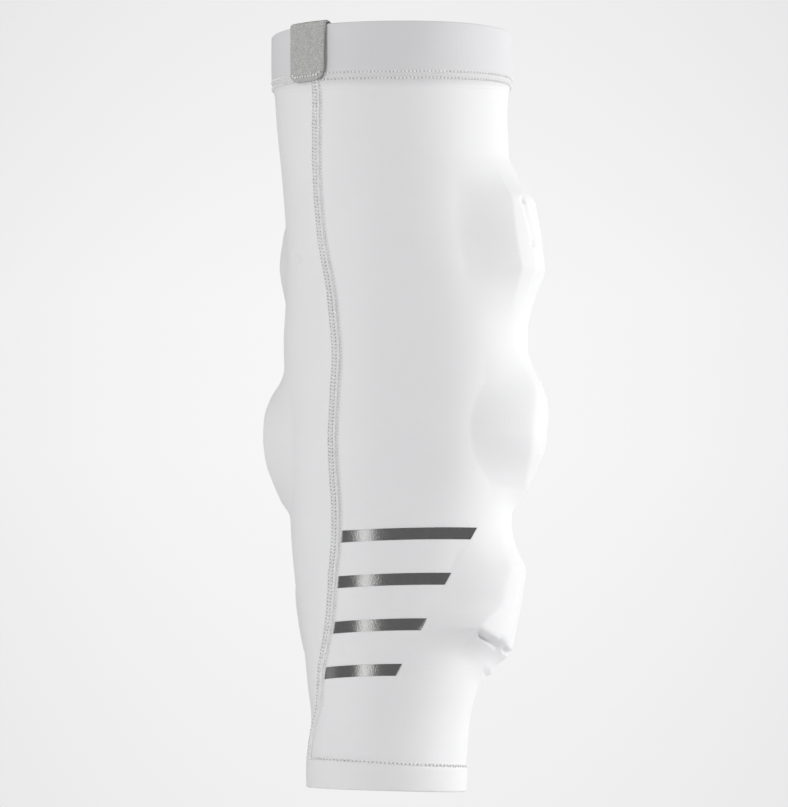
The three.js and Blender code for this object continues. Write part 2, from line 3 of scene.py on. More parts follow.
import bpy
import numpy as np
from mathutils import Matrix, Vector


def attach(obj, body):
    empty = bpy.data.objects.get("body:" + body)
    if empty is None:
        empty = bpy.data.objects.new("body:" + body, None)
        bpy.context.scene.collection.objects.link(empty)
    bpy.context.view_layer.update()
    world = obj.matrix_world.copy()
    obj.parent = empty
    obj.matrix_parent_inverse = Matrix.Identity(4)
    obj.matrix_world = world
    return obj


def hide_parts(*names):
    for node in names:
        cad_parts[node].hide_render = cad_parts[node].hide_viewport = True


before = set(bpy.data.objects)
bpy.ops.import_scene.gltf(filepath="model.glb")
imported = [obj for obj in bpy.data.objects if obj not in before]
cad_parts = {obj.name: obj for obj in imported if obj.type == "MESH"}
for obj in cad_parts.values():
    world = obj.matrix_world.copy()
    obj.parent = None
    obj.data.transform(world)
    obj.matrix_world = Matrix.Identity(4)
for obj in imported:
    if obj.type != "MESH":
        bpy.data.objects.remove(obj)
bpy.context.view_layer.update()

# Looks of a white padded arm sleeve. The shape is worked out in millimetres and degrees, as the frame's
# is, and MM turns it into metres. "around" is an angle about Z from the front, growing to the right.
MM = 0.001
rng = np.random.default_rng(11)

# Lengths along the arm, and the outside of the fabric at the two openings and at the elbow
UPPER_LENGTH = 202.6
FOREARM_LENGTH = 174.1
TOP_WIDTH = 119.7
TOP_DEPTH = 112
ELBOW_WIDTH = 116.5
ELBOW_DEPTH = 104
WRIST_WIDTH = 78
WRIST_DEPTH = 72
SQUARENESS = 2.2
FABRIC_WALL = 1.4
PIECE_GAP = 0.35

# Cuffs
TOP_TILT = 0.6
BOTTOM_TILT = -1.6
BOTTOM_LINE_TILT = -3
TOP_CUFF_HEIGHT = 26.1
TOP_CUFF_FRONT_DIP = 6.4
BOTTOM_CUFF_HEIGHT = 14
CUFF_PROUD = 1
LIP_CLEARANCE = 0.08

# Seam and stripes
SEAM_WIDTH = 6
STRIPE_COUNT = 4
STRIPE_HEIGHT = 5.8
STRIPE_PITCH = 22.2
FIRST_STRIPE_TOP = -45.3
FIRST_STRIPE_END = 36.3
STRIPE_END_SLOPE = 0.53
STRIPE_SEAM_DIP = 1.6
FILM_LIFT = 0.06
FILM_THICKNESS = 0.12

# Pull tab
TAB_AROUND = -43.3
TAB_WIDTH = 22
TAB_DROP = 28
TAB_INSIDE_DROP = 22
TAB_THICKNESS = 1.4
TAB_STANDOFF = 1.5
TAB_CORNER = 6

# Muscle inside the elbow
MUSCLE_RISE = 3.2
MUSCLE_AROUND = 40
MUSCLE_HEIGHT = 8
MUSCLE_WIDTH = 27
MUSCLE_LENGTH = 62

# Loose fabric tucked under the forearm pad
TUCK_RISE = 2.6
TUCK_AROUND = 84
TUCK_HEIGHT = -116
TUCK_WIDTH = 26
TUCK_DEPTH = 5.5
TUCK_SLOPE = -0.35

PAD_BEVEL = 9
END_SOFT = 0.7
PLACE_ROUNDS = 6

# Sections of the arm: along, then shares of the width and depth, and sway as a share of the elbow's width
SECTIONS = np.array([
    (-1.0, 1.0, 1.0, -0.058), (-0.91, 0.97, 0.98, -0.054), (-0.8, 0.922, 0.96, -0.039),
    (-0.7, 0.947, 0.97, -0.03), (-0.6, 0.971, 0.99, -0.02), (-0.46, 1.012, 1.02, -0.009),
    (-0.3, 1.029, 1.03, 0.001), (-0.14, 1.011, 1.01, 0.007), (0.0, 1.0, 1.0, 0.014),
    (0.1, 1.02, 1.0, 0.021), (0.24, 1.041, 0.99, 0.024), (0.34, 1.015, 0.99, 0.02),
    (0.49, 0.971, 0.99, 0.003), (0.59, 0.963, 1.0, -0.01), (0.77, 0.972, 1.0, -0.034),
    (0.84, 0.98, 1.0, -0.037), (0.9, 0.998, 1.0, -0.034), (1.0, 1.0, 1.0, -0.032),
])

# Route of the side seam: along, and its place as a share of the half width
SEAM_ROUTE = np.array([
    (-0.92, -0.97), (-0.83, -0.965), (-0.75, -0.88), (-0.65, -0.815), (-0.52, -0.69), (-0.38, -0.625),
    (-0.3, -0.59), (-0.2, -0.58), (-0.1, -0.597), (0.0, -0.603), (0.1, -0.585), (0.21, -0.563),
    (0.32, -0.6), (0.38, -0.627), (0.43, -0.66), (0.5, -0.69), (0.62, -0.69), (0.79, -0.64),
    (0.86, -0.635),
])

# Each pad. sides: up, how far the right and left edges draw back in degrees, share of the rise.
# ends: across, how far the lower and upper edges lie above their straight lines, reach of the bridge
PADS = [
    {
        "name": "forearm_pad", "soft": 0.8, "middle": -84, "height": 40, "drop": 0, "lift": 12.6,
        "right": 61, "left": 236, "bridge": {"side": 27, "above": 24, "below": 14}, "sag": 1.8,
        "side_sag": 1.5, "side_rise": 0.92,
        "sides": np.array([
            (0, -17, 6, 1.0), (0.18, -11.5, 3, 0.98), (0.36, -4.5, 1, 0.95), (0.7, -3, 0, 0.91),
            (1, 0, 5, 0.86),
        ]),
        "ends": np.array([
            (0, 0.24, 0, 1), (0.13, 0.08, 0, 1), (0.25, -0.08, 0, 1), (0.55, -0.18, 0.03, 1),
            (1, -0.05, 0, 0.8),
        ]),
    },
    {
        "name": "elbow_pad", "soft": 0.9, "middle": -1.6, "height": 54, "drop": 5, "lift": 13.2,
        "right": 61, "left": 264, "bridge": {"side": 28, "above": 18, "below": 11}, "sag": 1.5,
        "side_sag": 1.4, "side_rise": 0.96,
        "sides": np.array([
            (0, 17, 10.5, 0.47), (0.18, 8, 4.3, 0.7), (0.36, 2.5, 2.3, 0.95), (0.57, 0, 0, 1.0),
            (0.8, 1.5, 1, 0.93), (1, 6, 5, 0.65),
        ]),
        "ends": np.array([
            (0, 0.015, -0.015, 1), (0.5, -0.1, 0.06, 1), (1, -0.025, 0.02, 0.7),
        ]),
    },
    {
        "name": "upper_arm_pad", "soft": 0.35, "middle": 97, "height": 36, "drop": 15, "lift": 13.5,
        "right": 55.6, "left": 243.4, "bridge": {"side": 26, "above": 22, "below": 29}, "sag": 1.35,
        "side_sag": 1.7, "side_rise": 0.85,
        "sides": np.array([
            (0, 2, 4, 0.95), (0.5, 0, 0, 1.0), (1, 1, 3, 0.88),
        ]),
        "ends": np.array([
            (0, -0.1, -0.12, 1), (0.17, 0, 0, 1), (0.5, -0.08, 0.06, 1), (1, 0, 0, 0.35),
        ]),
    },
]

# Fineness of the fabric: columns over the back and the front, and rows in each band
BACK_COLUMNS = 124
FRONT_COLUMNS = 176
PAD_ROWS = 44
BETWEEN_ROWS = 28
END_ROWS = 42
LINING_STEP = 8
CROWDING = 1.4
THIN_ROW = 0.002

# Creases and folds lie only in front of this depth
FRONT_DEPTH = 12

# Small creases, read off the front and the right side: a line of places (x, z) on the fabric as seen
# from the front, depth of the groove, and half its width
CREASES = [
    ([(61, 117.4), (61.4, 116.6)], 1.4, 1.0),
    ([(61.4, 116), (64.0, 106), (66.2, 96)], 0.7, 1.0),
    ([(66, 96), (66.2, 95.2)], 1.4, 1.0),
    ([(-52.5, 90), (-50.5, 87.6)], 0.9, 1.1),
]

# Folds that hang over the fabric below them: a line of places (x, z) from left to right, depth of the
# groove, half its width, how far the lip above it hangs down, and how softly its ends run out
FOLDS = [
    ([(39.5, -95.6), (42.5, -97.0), (46, -99.0), (48, -100.6)], 6.5, 1.7, 1.2, 1.8),
    ([(51.6, -103.4), (53.2, -104.4), (56, -105.6)], 4.2, 1.2, 0.6, 1.3),
    ([(42.5, -114.5), (45.5, -118), (48, -121.5)], 2.6, 1.5, 1.4, 2.0),
]

# A fold in section, above its line, as shares of its half width, and the crest's height as a share of
# the groove's depth
GROOVE_BELOW = 0.75
CREST_ABOVE = 1.2
CREST_HALF = 1.3
CREST_SHARE = 0.03
LIP_ABOVE = 0.7
LIP_HALF = 1.1

# Unevenness of stretched fabric: depth, waves round the arm, and lengths along it for each radian
WAVE = {"depth": 0.16, "turns": 3, "lean": 23, "length": 31, "sway": 2}
RIPPLE = {"depth": 0.04, "turns": 11, "lean": 9, "length": 14, "twist": 5}

# Step where the fabric's lower ply ends beside the stripes, and the heights over which it fades
PLY_STEP = 0.25
PLY_EDGE = 2
PLY_LOW = (-135, -120)
PLY_HIGH = (-45, -36)

# Cuffs in detail. The top cuff's rows of stitches lie at these distances from the rim at the back, and
# further down at the front, and each row pulls a dent into the fabric
CUFF_COLUMNS = 320
CUFF_ANGLES = np.arange(CUFF_COLUMNS) * 360 / CUFF_COLUMNS
RIM_ROUND = 0.7
RIM_STEPS = 9
TOP_STITCH_ROWS = (21.8, 25.0)
TOP_STITCH_DIP = 3.2
BOTTOM_STITCH_IN = 0.4
STITCH_DENT = 0.2
STITCH_DENT_HALF = 0.8
DENT_FADE = 4
LIP_EDGE = 0.03
LEAST_STEP = 0.02

# Places of the rows of points up each cuff's outer face and lining, as shares of its height
TOP_FACE = np.concatenate([[0, 0.001], np.linspace(0.01, 0.5, 36), np.linspace(0.53, 1, 16)])
TOP_LINING = np.linspace(0.85, 0.02, 10)
BOTTOM_FACE = np.concatenate([np.linspace(0.04, 0.7, 12), np.linspace(0.73, 0.985, 20), [0.998, 1]])
BOTTOM_LINING = np.linspace(0.85, 0.1, 6)

# Edges of the cuffs in section: how far above the cuff's line, and share of CUFF_PROUD
TOP_CUFF_TAPER = np.array([
    (-0.9, 0.09), (0.4, 0.2), (1.6, 0.42), (2.8, 0.68), (4.0, 0.88), (5.4, 0.98), (7.0, 1.0),
])
BOTTOM_CUFF_TAPER = np.array([
    (-3.0, 0.8), (-1.8, 0.72), (-1.0, 0.52), (-0.2, 0.34), (0.6, 0.18), (1.0, 0.1),
])

# Seam in detail. Its section: place across from the middle, and height over the fabric
SEAM_SECTION = np.array([
    (-3.0, 0.1), (-2.7, 0.5), (-2.0, 0.62), (-1.3, 0.55), (-0.7, 0.2), (-0.3, 0.08), (0.1, 0.3),
    (0.6, 0.85), (1.2, 1.05), (1.8, 0.9), (2.2, 0.3), (2.45, 0.1), (2.75, 0.3), (3.0, 0.1),
])
SEAM_ROWS = 1050
SEAM_OVER_TOP = 4.2
SEAM_UNDER_LINE = 1.0
SEAM_SHIFT = 0.6
SEAM_BASE = 0.04
STITCH_PITCH = 1.7
PUCKER = 0.4
PUCKER_SWAY = 2.6
PUCKER_ACROSS = 2.4

# Stitches along the seam: across, lift, length, width, height, turn in degrees, start
SEAM_THREADS = [
    (-2.7, 0.55, 1.3, 0.8, 1.1, 40, 0),
    (-1.4, 0.66, 1.4, 0.85, 1.1, -40, 0.5),
    (-0.35, 0.4, 1.3, 0.8, 0.9, 88, 0),
    (0.95, 0.96, 1.5, 0.95, 0.9, 20, 0.3),
    (1.65, 0.98, 1.5, 0.85, 0.9, -20, 1.15),
]
# Dark beads along the seam that paint the shade in its needle holes and in the groove at its right edge
SEAM_HOLE_SHADE = [
    (-0.35, 0.3, 0.95, 0.95, 0.5, 0, 0.85),
    (-2.0, 0.84, 0.75, 0.75, 0.5, 0, 1.1),
    (2.42, 0.14, 1.2, 0.4, 0.3, 0, 0.8),
]
SEAM_FIRST_STITCH = 1.5
SEAM_LAST_STITCH = 0.8
SEAM_STITCH_PLAY = 0.16

# Stitches round the cuffs: cuff, row, lift, length, width, height, turn in degrees, start in pitches
CUFF_THREADS = [
    ("top", 0, 1.02, 1.3, 1.15, 0.9, 14, 0),
    ("top", 1, 1.0, 1.3, 1.15, 0.9, 14, 0.5),
    ("bottom", 0, 0.6, 1.9, 0.9, 0.8, 50, 0),
]
# Dark beads between the cuffs' stitches that paint the shade in their needle holes
CUFF_HOLE_SHADE = [
    ("top", 0, 0.84, 0.6, 0.5, 0.4, 0, 0.5),
    ("top", 1, 0.82, 0.6, 0.6, 0.4, 0, 0),
    ("bottom", 0, 0.42, 0.6, 0.7, 0.4, 0, 0.5),
]
CUFF_PITCH = {"top": 1.9, "bottom": 2.0}

# How much stitches vary, and the fineness of each
SIZE_VARIES = 0.3
TURN_VARIES = 0.4
SEAM_TURN_VARIES = 0.5
TAB_SIZE_VARIES = 0.2
BEAD_SIDES = 6
BEAD_RINGS = 3

# Stripes' net of points, and the gap beside the seam
STRIPE_COLUMNS = 90
STRIPE_ROWS = 6
STRIPE_GAP = 0.2

# Pull tab in detail: rows down the outside, round the rim and down the inside, its thin edges, and its
# stitches' length, width and height
TAB_COLUMNS = 28
TAB_ROWS = 46
TAB_TURN_ROWS = 13
TAB_INSIDE_ROWS = 14
TAB_TURN_RISE = 1.0
TAB_THIN_EDGE = 0.6
TAB_THINNEST = 0.12
TAB_STITCHES = 11
TAB_STITCH_IN = 2.6
TAB_STITCH_SIDE = TAB_STITCH_IN * 0.6
TAB_STITCH_LIFT = 0.05
TAB_STITCH_TURN = 24
TAB_HALF_PITCH = (TAB_WIDTH - 2 * TAB_STITCH_SIDE) / TAB_STITCHES / 2
TAB_THREAD = (1.45, 1.0, 0.8)
# Dark beads between the tab's stitches paint the shade in their needle holes: length, width and height
TAB_HOLE_SHADE = (0.7, 0.9, 0.4)

# Foam pads: net of points, how far the net stays inside the pad's edges, and the cloth run
PAD_NET_ROWS = 22
PAD_NET_COLUMNS = 60
PAD_END_IN = 0.04
PAD_SIDE_IN = 0.02
PAD_START_PLAY = 0.9
SWELL_VOXEL = 4.0
SWELL_FRAMES = 20
SWELL_PRESSURE = 4.0
SWELL_CAP = 0.8
SWELL_QUALITY = 5

# Patterns of the materials: pitches in millimetres, and scales of noise over a metre
KNIT_WALE = 0.7
KNIT_COURSE = 0.62
KNIT_LEAN = 0.35
KNIT_GRAIN = 1400
KNIT_DRIFT = 28
CUFF_EDGE = (-0.5, 3.5)
THREAD_TWIST = 900
THREAD_PATCHES = 260
RIBBON_TWILL = 0.9
RIBBON_TWILL_SLOPE = 0.8
RIBBON_PICK = 0.55
RIBBON_STRETCH = 2.2
RIBBON_FIBRES = 1300
RIBBON_CLOUDS = 420
FILM_BEADS = 1500
FILM_PATCHES = 420
FOAM_PORES = 700
FOAM_CLOUDS = 60

# Camera, worked out from the photograph: where it stands, how far it looks up, and its lens
CAMERA_PLACE = (-3, -2120, -122.5)
CAMERA_PITCH = 3.8
CAMERA_LENS = 189.5

# Studio: soft lights, each with its name, bearing (degrees from the front to the right), height over the
# elbow, distance, width and height in metres, and power in watts. The glint shows only in shiny faces,
# and the strip only in matt ones
LIGHTS = [
    ("key", 91, 0.35, 2.2, 1.0, 2.0, 41),
    ("strip", -38, 0.1, 2.1, 0.45, 1.9, 16),
    ("glint", -28, -0.3, 2.1, 0.62, 2.6, 13),
    ("side", -85, 0.3, 2.1, 0.9, 1.9, 2.2),
]
LIGHT_AIM = (0, 0, 0.02)

# Surround: light on the object, the grey in view by a direction's rise, and how it falls off to the sides
WORLD_LIGHT = 0.45
WORLD_BLUE = 1.01
WORLD_SPAN = (-0.04, 0.17)
WORLD_GREYS = [(0.0, 0.862), (0.45, 0.925), (0.62, 0.925), (1.0, 0.85)]
WORLD_MIDDLE = 1.005
WORLD_SIDE_FALL = 7.5
WORLD_SIDE_LEAST = 0.93

# Floor, in metres
FLOOR_HEIGHT = -0.3
FLOOR_RADIUS = 1.5
FLOOR_FADE = (0.3, 1.455)
FLOOR_SIDES = 96
FLOOR_MOTTLE = 3


def column(table, number, at):
    """A smooth curve through one column of a table whose first column holds the keys."""
    keys, values = table[:, 0], table[:, number]
    last = len(keys) - 1
    at = np.asarray(at, float)
    i = np.clip(np.searchsorted(keys, at, "left") - 1, 0, last - 1)
    before, after = np.maximum(np.arange(last + 1) - 1, 0), np.minimum(np.arange(last + 1) + 1, last)
    slope = (values[after] - values[before]) / (keys[after] - keys[before])
    span = keys[i + 1] - keys[i]
    t = np.clip((at - keys[i]) / span, 0, 1)
    rest = 1 - t
    start = values[i] * (1 + 2 * t) * rest**2 + slope[i] * span * t * rest**2
    return start + values[i + 1] * (3 - 2 * t) * t**2 - slope[i + 1] * span * rest * t**2


def mix(a, b, t):
    return a + (b - a) * t


def smooth(low, high, value):
    t = np.clip((value - low) / (high - low), 0, 1)
    return t * t * (3 - 2 * t)


def wrapped(angle):
    return (angle + 180) % 360 - 180


def along_arm(height):
    height = np.asarray(height, float)
    return height / np.where(height < 0, FOREARM_LENGTH, UPPER_LENGTH)


def section_at(height):
    """Half width, half depth and middle of the arm's section at a height."""
    along = along_arm(height)
    share = np.abs(along)
    width = mix(ELBOW_WIDTH, np.where(along < 0, WRIST_WIDTH, TOP_WIDTH), share) / 2
    depth = mix(ELBOW_DEPTH, np.where(along < 0, WRIST_DEPTH, TOP_DEPTH), share) / 2
    width = width * column(SECTIONS, 1, along)
    depth = depth * column(SECTIONS, 2, along)
    return width, depth, ELBOW_WIDTH * column(SECTIONS, 3, along)


def arm_radius(width, depth, around):
    sideways = np.abs(np.sin(np.radians(around)) / width) ** SQUARENESS
    forwards = np.abs(np.cos(np.radians(around)) / depth) ** SQUARENESS
    return (sideways + forwards) ** (-1 / SQUARENESS)


def around_at(width, depth, across):
    forwards = (1 - np.abs(across) ** SQUARENESS) ** (1 / SQUARENESS)
    return np.degrees(np.arctan2(width * across, depth * forwards))


def side_edges(pad, up):
    """Angles of a pad's right and left edges."""
    return pad["right"] + column(pad["sides"], 1, up), pad["left"] - column(pad["sides"], 2, up)


def end_edge(pad, across, end):
    """Height of a pad's lower edge (end -1) or upper edge (end 1)."""
    straight = pad["middle"] + end * pad["height"] / 2 + pad["drop"] * (0.5 - across)
    return straight + pad["height"] * column(pad["ends"], 1 if end < 0 else 2, across)


def place_on_pad(pad, around, height):
    """How far across and up a pad a place lies, found in a few rounds because its edges slant."""
    middle = (pad["right"] + pad["left"]) / 2
    turned = middle + wrapped(around - middle)
    up = np.full(np.shape(around), 0.5)
    for _ in range(PLACE_ROUNDS):
        right, left = side_edges(pad, up)
        across = (turned - right) / (left - right)
        side = np.clip(across, 0, 1)
        lower = end_edge(pad, side, -1)
        up = (height - lower) / (end_edge(pad, side, 1) - lower)
    return across, up


def bridge_share(distance, reach, sag):
    return np.clip(1 - distance / reach, 0, 1) ** sag


def above_zero(value, soft):
    """The value where it is positive and nothing where it is negative, with a soft turn between them."""
    return soft * np.logaddexp(0, value / soft)


def pad_rise(pad, around, height, radius):
    """How far one pad holds the fabric off the arm."""
    across, up = place_on_pad(pad, around, height)
    level, side = np.clip(up, 0, 1), np.clip(across, 0, 1)
    right, left = side_edges(pad, level)
    tall = end_edge(pad, side, 1) - end_edge(pad, side, -1)
    inside = np.minimum(across, 1 - across) * np.radians(left - right) * radius
    bevel = mix(pad["side_rise"], 1, np.clip(above_zero(inside, pad["soft"]) / PAD_BEVEL, 0, 1))
    reach = column(pad["ends"], 3, side)
    bridge = pad["bridge"]
    over = bridge_share(above_zero((up - 1) * tall, END_SOFT), bridge["above"] * reach, pad["sag"])
    under = bridge_share(above_zero(-up * tall, END_SOFT), bridge["below"] * reach, pad["sag"])
    side_share = bridge_share(above_zero(-inside, pad["soft"]), bridge["side"], pad["side_sag"])
    beyond = side_share * np.where(up > 0.5, over, under)
    return pad["lift"] * column(pad["sides"], 3, level) * bevel * beyond


def tuck_rise(around, height):
    aside = wrapped(around - TUCK_AROUND)
    middle = TUCK_HEIGHT + TUCK_SLOPE * aside * math.radians(WRIST_WIDTH / 2)
    return TUCK_RISE * np.exp(-((aside / TUCK_WIDTH) ** 2) - ((height - middle) / TUCK_DEPTH) ** 2)


def muscle_rise(around, height):
    aside = wrapped(around - MUSCLE_AROUND) / MUSCLE_WIDTH
    return MUSCLE_RISE * np.exp(-(aside**2) - ((height - MUSCLE_HEIGHT) / MUSCLE_LENGTH) ** 2)


def polar(around, height, radius, middle):
    a = np.radians(around)
    return np.stack([middle + radius * np.sin(a), -radius * np.cos(a), height + 0 * a], -1)


def arm_radius_at(around, height):
    """The places as arrays, with the arm's radius and middle there."""
    around, height = np.broadcast_arrays(np.asarray(around, float), np.asarray(height, float))
    width, depth, middle = section_at(height)
    return around, height, arm_radius(width, depth, around) + muscle_rise(around, height), middle


def arm_point(around, height, offset=0.0):
    around, height, radius, middle = arm_radius_at(around, height)
    return polar(around, height, radius + offset, middle)


def fabric_point(around, height, offset=0.0):
    """A point on the outside of the fabric, with everything that lifts it off the arm."""
    around, height, flat, middle = arm_radius_at(around, height)
    rise = np.max([pad_rise(pad, around, height, flat) for pad in PADS], axis=0)
    rise = rise + tuck_rise(around, height)
    bare = polar(around, height, flat + rise, middle)
    fold_in, fold_down = folds(bare)
    radius = flat + rise + relief(bare, around, height) + fold_in + offset
    return polar(around, height + fold_down, radius, middle)


def stripe_end(height):
    """How far right the stripes reach on the front at a height, where the fabric's lower ply ends too."""
    return FIRST_STRIPE_END - STRIPE_END_SLOPE * (FIRST_STRIPE_TOP - height)


def folds(points):
    """How far the folds move points in or out, and down."""
    x, z = points[..., 0], points[..., 2]
    front = points[..., 1] < FRONT_DEPTH
    out, down = np.zeros(x.shape), np.zeros(x.shape)
    for line, depth, half, over, fade in FOLDS:
        across, up = np.array(line, float).T
        keep = smooth(across[0] - fade, across[0] + fade, x)
        keep = keep * (1 - smooth(across[-1] - fade / 2, across[-1] + fade, x)) * front
        above = (z - np.interp(x, across, up)) / half
        groove = np.exp(-((above + GROOVE_BELOW) ** 2))
        crest = np.exp(-(((above - CREST_ABOVE) / CREST_HALF) ** 2))
        out += depth * keep * (CREST_SHARE * crest - groove)
        down -= over * keep * np.exp(-(((above - LIP_ABOVE) / LIP_HALF) ** 2))
    return out, down


def line_distance(points, line):
    """Distance in the x-z plane from points to a line of places."""
    best = np.full(points.shape[:-1], 1e9)
    flat = points[..., [0, 2]]
    for a, b in zip(line, line[1:]):
        a, b = np.array(a, float), np.array(b, float)
        t = np.clip(((flat - a) @ (b - a)) / ((b - a) @ (b - a)), 0, 1)
        best = np.minimum(best, np.linalg.norm(flat - a - t[..., None] * (b - a), axis=-1))
    return best


def relief(points, around, height):
    """Creases and the slight unevenness of stretched fabric."""
    front = points[..., 1] < FRONT_DEPTH
    out = np.zeros(points.shape[:-1])
    for line, depth, half in CREASES:
        near = line_distance(points, line) / half
        out = out - np.where(front, depth * np.exp(-near * near), 0)
    a = np.radians(around)
    wave = np.sin(WAVE["turns"] * a + height / WAVE["lean"])
    wave = wave * np.sin(height / WAVE["length"] + WAVE["sway"] * np.cos(a))
    ripple = np.sin(RIPPLE["turns"] * a - height / RIPPLE["lean"])
    ripple = ripple * np.sin(height / RIPPLE["length"] + RIPPLE["twist"] * a)
    ply = smooth(-PLY_EDGE, PLY_EDGE, points[..., 0] - stripe_end(height))
    ply = ply * smooth(*PLY_LOW, height) * (1 - smooth(*PLY_HIGH, height)) * front
    return out + WAVE["depth"] * wave + RIPPLE["depth"] * ripple + PLY_STEP * ply


def tilted(height, tilt, around):
    """Height of a level line that leans to one side."""
    return height + math.tan(math.radians(tilt)) * arm_point(around, height)[..., 0]


def top_rim(around):
    return tilted(UPPER_LENGTH, TOP_TILT, around)


def bottom_rim(around):
    return tilted(-FOREARM_LENGTH, BOTTOM_TILT, around)


def bottom_cuff_line(around):
    return tilted(-FOREARM_LENGTH + BOTTOM_CUFF_HEIGHT, BOTTOM_LINE_TILT, around)


def frontness(around):
    return ((1 + np.cos(np.radians(around))) / 2) ** 2


def top_cuff_line(around):
    return top_rim(around) - TOP_CUFF_HEIGHT - TOP_CUFF_FRONT_DIP * frontness(around)


def level_places(right, left, height_of):
    """Angles and heights of one row, closest at the right edge, round the back and then the front."""
    back = (np.arange(BACK_COLUMNS) / BACK_COLUMNS) ** CROWDING
    front = 1 - (1 - np.arange(FRONT_COLUMNS) / FRONT_COLUMNS) ** CROWDING
    around = np.concatenate([mix(right, left, back), mix(left, right + 360, front)])
    across = np.concatenate([back, 1 - front])
    return around, height_of(around, across)


def sleeve_places():
    """Rows of places from the lower cuff to the upper one, running along the pads' edges."""
    stops = []
    for pad in PADS:
        for end in (-1, 1):
            edges = side_edges(pad, (end + 1) / 2)
            stops.append((*edges, lambda a, c, pad=pad, end=end: end_edge(pad, c, end)))
    stops.insert(0, (*stops[0][:2], lambda a, c: bottom_cuff_line(a) + PIECE_GAP))
    stops.append((*stops[-1][:2], lambda a, c: top_cuff_line(a) - PIECE_GAP))
    last = len(stops) - 2
    rows = []
    for i, (start, end) in enumerate(zip(stops, stops[1:])):
        on_pad = i % 2
        count = PAD_ROWS if on_pad else END_ROWS if i in (0, last) else BETWEEN_ROWS
        shares = np.arange(count) / count
        if i == 0:
            shares = np.insert(1 - (1 - shares) ** CROWDING, 1, THIN_ROW)
        elif i == 1:
            shares = shares**CROWDING
        elif i == last:
            shares = np.append(shares, 1 - THIN_ROW)
        for t in shares:
            right, left = mix(start[0], end[0], t), mix(start[1], end[1], t)
            if on_pad:
                right, left = side_edges(PADS[i // 2], t)
            rows.append(level_places(right, left, lambda a, c: mix(start[2](a, c), end[2](a, c), t)))
    rows.append(level_places(*stops[-1]))
    return np.array([r[0] for r in rows]), np.array([r[1] for r in rows])


def unit(directions):
    return directions / np.linalg.norm(directions, axis=-1, keepdims=True)


def net_normals(net):
    """Directions out of a net of points that closes on itself along each row."""
    up = np.gradient(net, axis=0)
    out = np.cross(np.roll(net, -1, 1) - np.roll(net, 1, 1), up)
    out[[0, -1], :, 2] = 0
    return unit(out)


def placed(name, data):
    obj = bpy.data.objects.new(name, data)
    bpy.context.scene.collection.objects.link(obj)
    return obj


def build(name, points, faces, uvs=None):
    """A smooth mesh object from points in millimetres, with an optional weave map in millimetres."""
    mesh = bpy.data.meshes.new(name)
    mesh.from_pydata((np.asarray(points) * MM).tolist(), [], np.asarray(faces).tolist())
    if uvs is not None:
        layer = mesh.uv_layers.new(name="weave")
        corner = np.empty(len(mesh.loops), np.int32)
        mesh.loops.foreach_get("vertex_index", corner)
        layer.data.foreach_set("uv", np.asarray(uvs, np.float32)[corner].ravel())
    mesh.shade_smooth()
    mesh.update()
    return placed(name, mesh)


def grid_faces(rows, columns, at, turned=False):
    i, j = np.meshgrid(np.arange(rows), np.arange(columns), indexing="ij")
    faces = np.stack([at(i, j), at(i, j + 1), at(i + 1, j + 1), at(i + 1, j)], -1).reshape(-1, 4)
    return faces[:, ::-1] if turned else faces


def ring_body(name, loops, uvs=None):
    """A closed ring: loops[i][j] is point i of the section's outline at place j round the ring."""
    rows, columns = loops.shape[:2]
    faces = grid_faces(rows, columns, lambda i, j: (i % rows) * columns + j % columns)
    return build(name, loops.reshape(-1, 3), faces, uvs)


def slab(name, outer, inner, uvs=None):
    """A closed sheet between an outer and an inner net with four free edges."""
    rows, columns = outer.shape[0] - 1, outer.shape[1] - 1
    size = outer.shape[0] * outer.shape[1]

    def out(i, j):
        return i * (columns + 1) + j

    def inn(i, j):
        return size + out(i, j)

    faces = np.concatenate([
        grid_faces(rows, columns, out),
        grid_faces(rows, columns, inn, True),
        grid_faces(1, columns, lambda i, j: np.where(i, out(0, j), inn(0, j))),
        grid_faces(1, columns, lambda i, j: np.where(i, inn(rows, j), out(rows, j))),
        grid_faces(1, rows, lambda i, j: np.where(i, inn(j, 0), out(j, 0)), True),
        grid_faces(1, rows, lambda i, j: np.where(i, inn(j, columns), out(j, columns))),
    ])
    points = np.concatenate([outer.reshape(-1, 3), inner.reshape(-1, 3)])
    return build(name, points, faces, None if uvs is None else np.tile(uvs.reshape(-1, 2), (2, 1)))


def make_sleeve():
    """The knitted tube: a fine outer face and a coarser inner face, joined at both rims."""
    around, height = sleeve_places()
    outer = fabric_point(around, height)
    normals = net_normals(outer)
    rows = outer.shape[0]
    lining = np.unique(np.append(np.arange(0, rows, LINING_STEP), rows - 1))
    inner = (outer - FABRIC_WALL * normals)[lining]
    arc = np.cumsum(np.linalg.norm(np.roll(outer, -1, 1) - outer, axis=-1), axis=1)
    weave = np.stack([arc, height], -1)
    loops = np.concatenate([outer, inner[::-1]])
    uvs = np.concatenate([weave, weave[lining][::-1]]).reshape(-1, 2)
    return ring_body("knit_sleeve", loops, uvs)


def make_cuff(name, section, line):
    """A doubled cuff swept round the arm. section holds (offsets, heights) rows at each angle, and the
    weave map counts heights from the cuff's line."""
    loops = np.array([arm_point(CUFF_ANGLES, heights, offset) for offset, heights in section])
    arc = np.cumsum(np.linalg.norm(np.roll(loops[0], -1, 0) - loops[0], axis=-1))
    uvs = np.array([np.stack([arc, heights - line], -1) for _, heights in section]).reshape(-1, 2)
    return ring_body(name, loops, uvs)


def stitch_dent(distance, rows):
    return -STITCH_DENT * sum(np.exp(-(((distance - r) / STITCH_DENT_HALF) ** 2)) for r in rows)


def rim_arc(inner, outer):
    """Offsets and heights of a round rim, from the outer face over to the inner face."""
    half = (outer - inner) / 2
    turns = np.linspace(0, math.pi, RIM_STEPS)
    return [(inner + half + half * math.cos(t), RIM_ROUND * math.sin(t)) for t in turns]


def top_stitch_height(around, row):
    return top_rim(around) - row - TOP_STITCH_DIP * frontness(around)


def bottom_stitch_height(around):
    return bottom_cuff_line(around) - BOTTOM_STITCH_IN


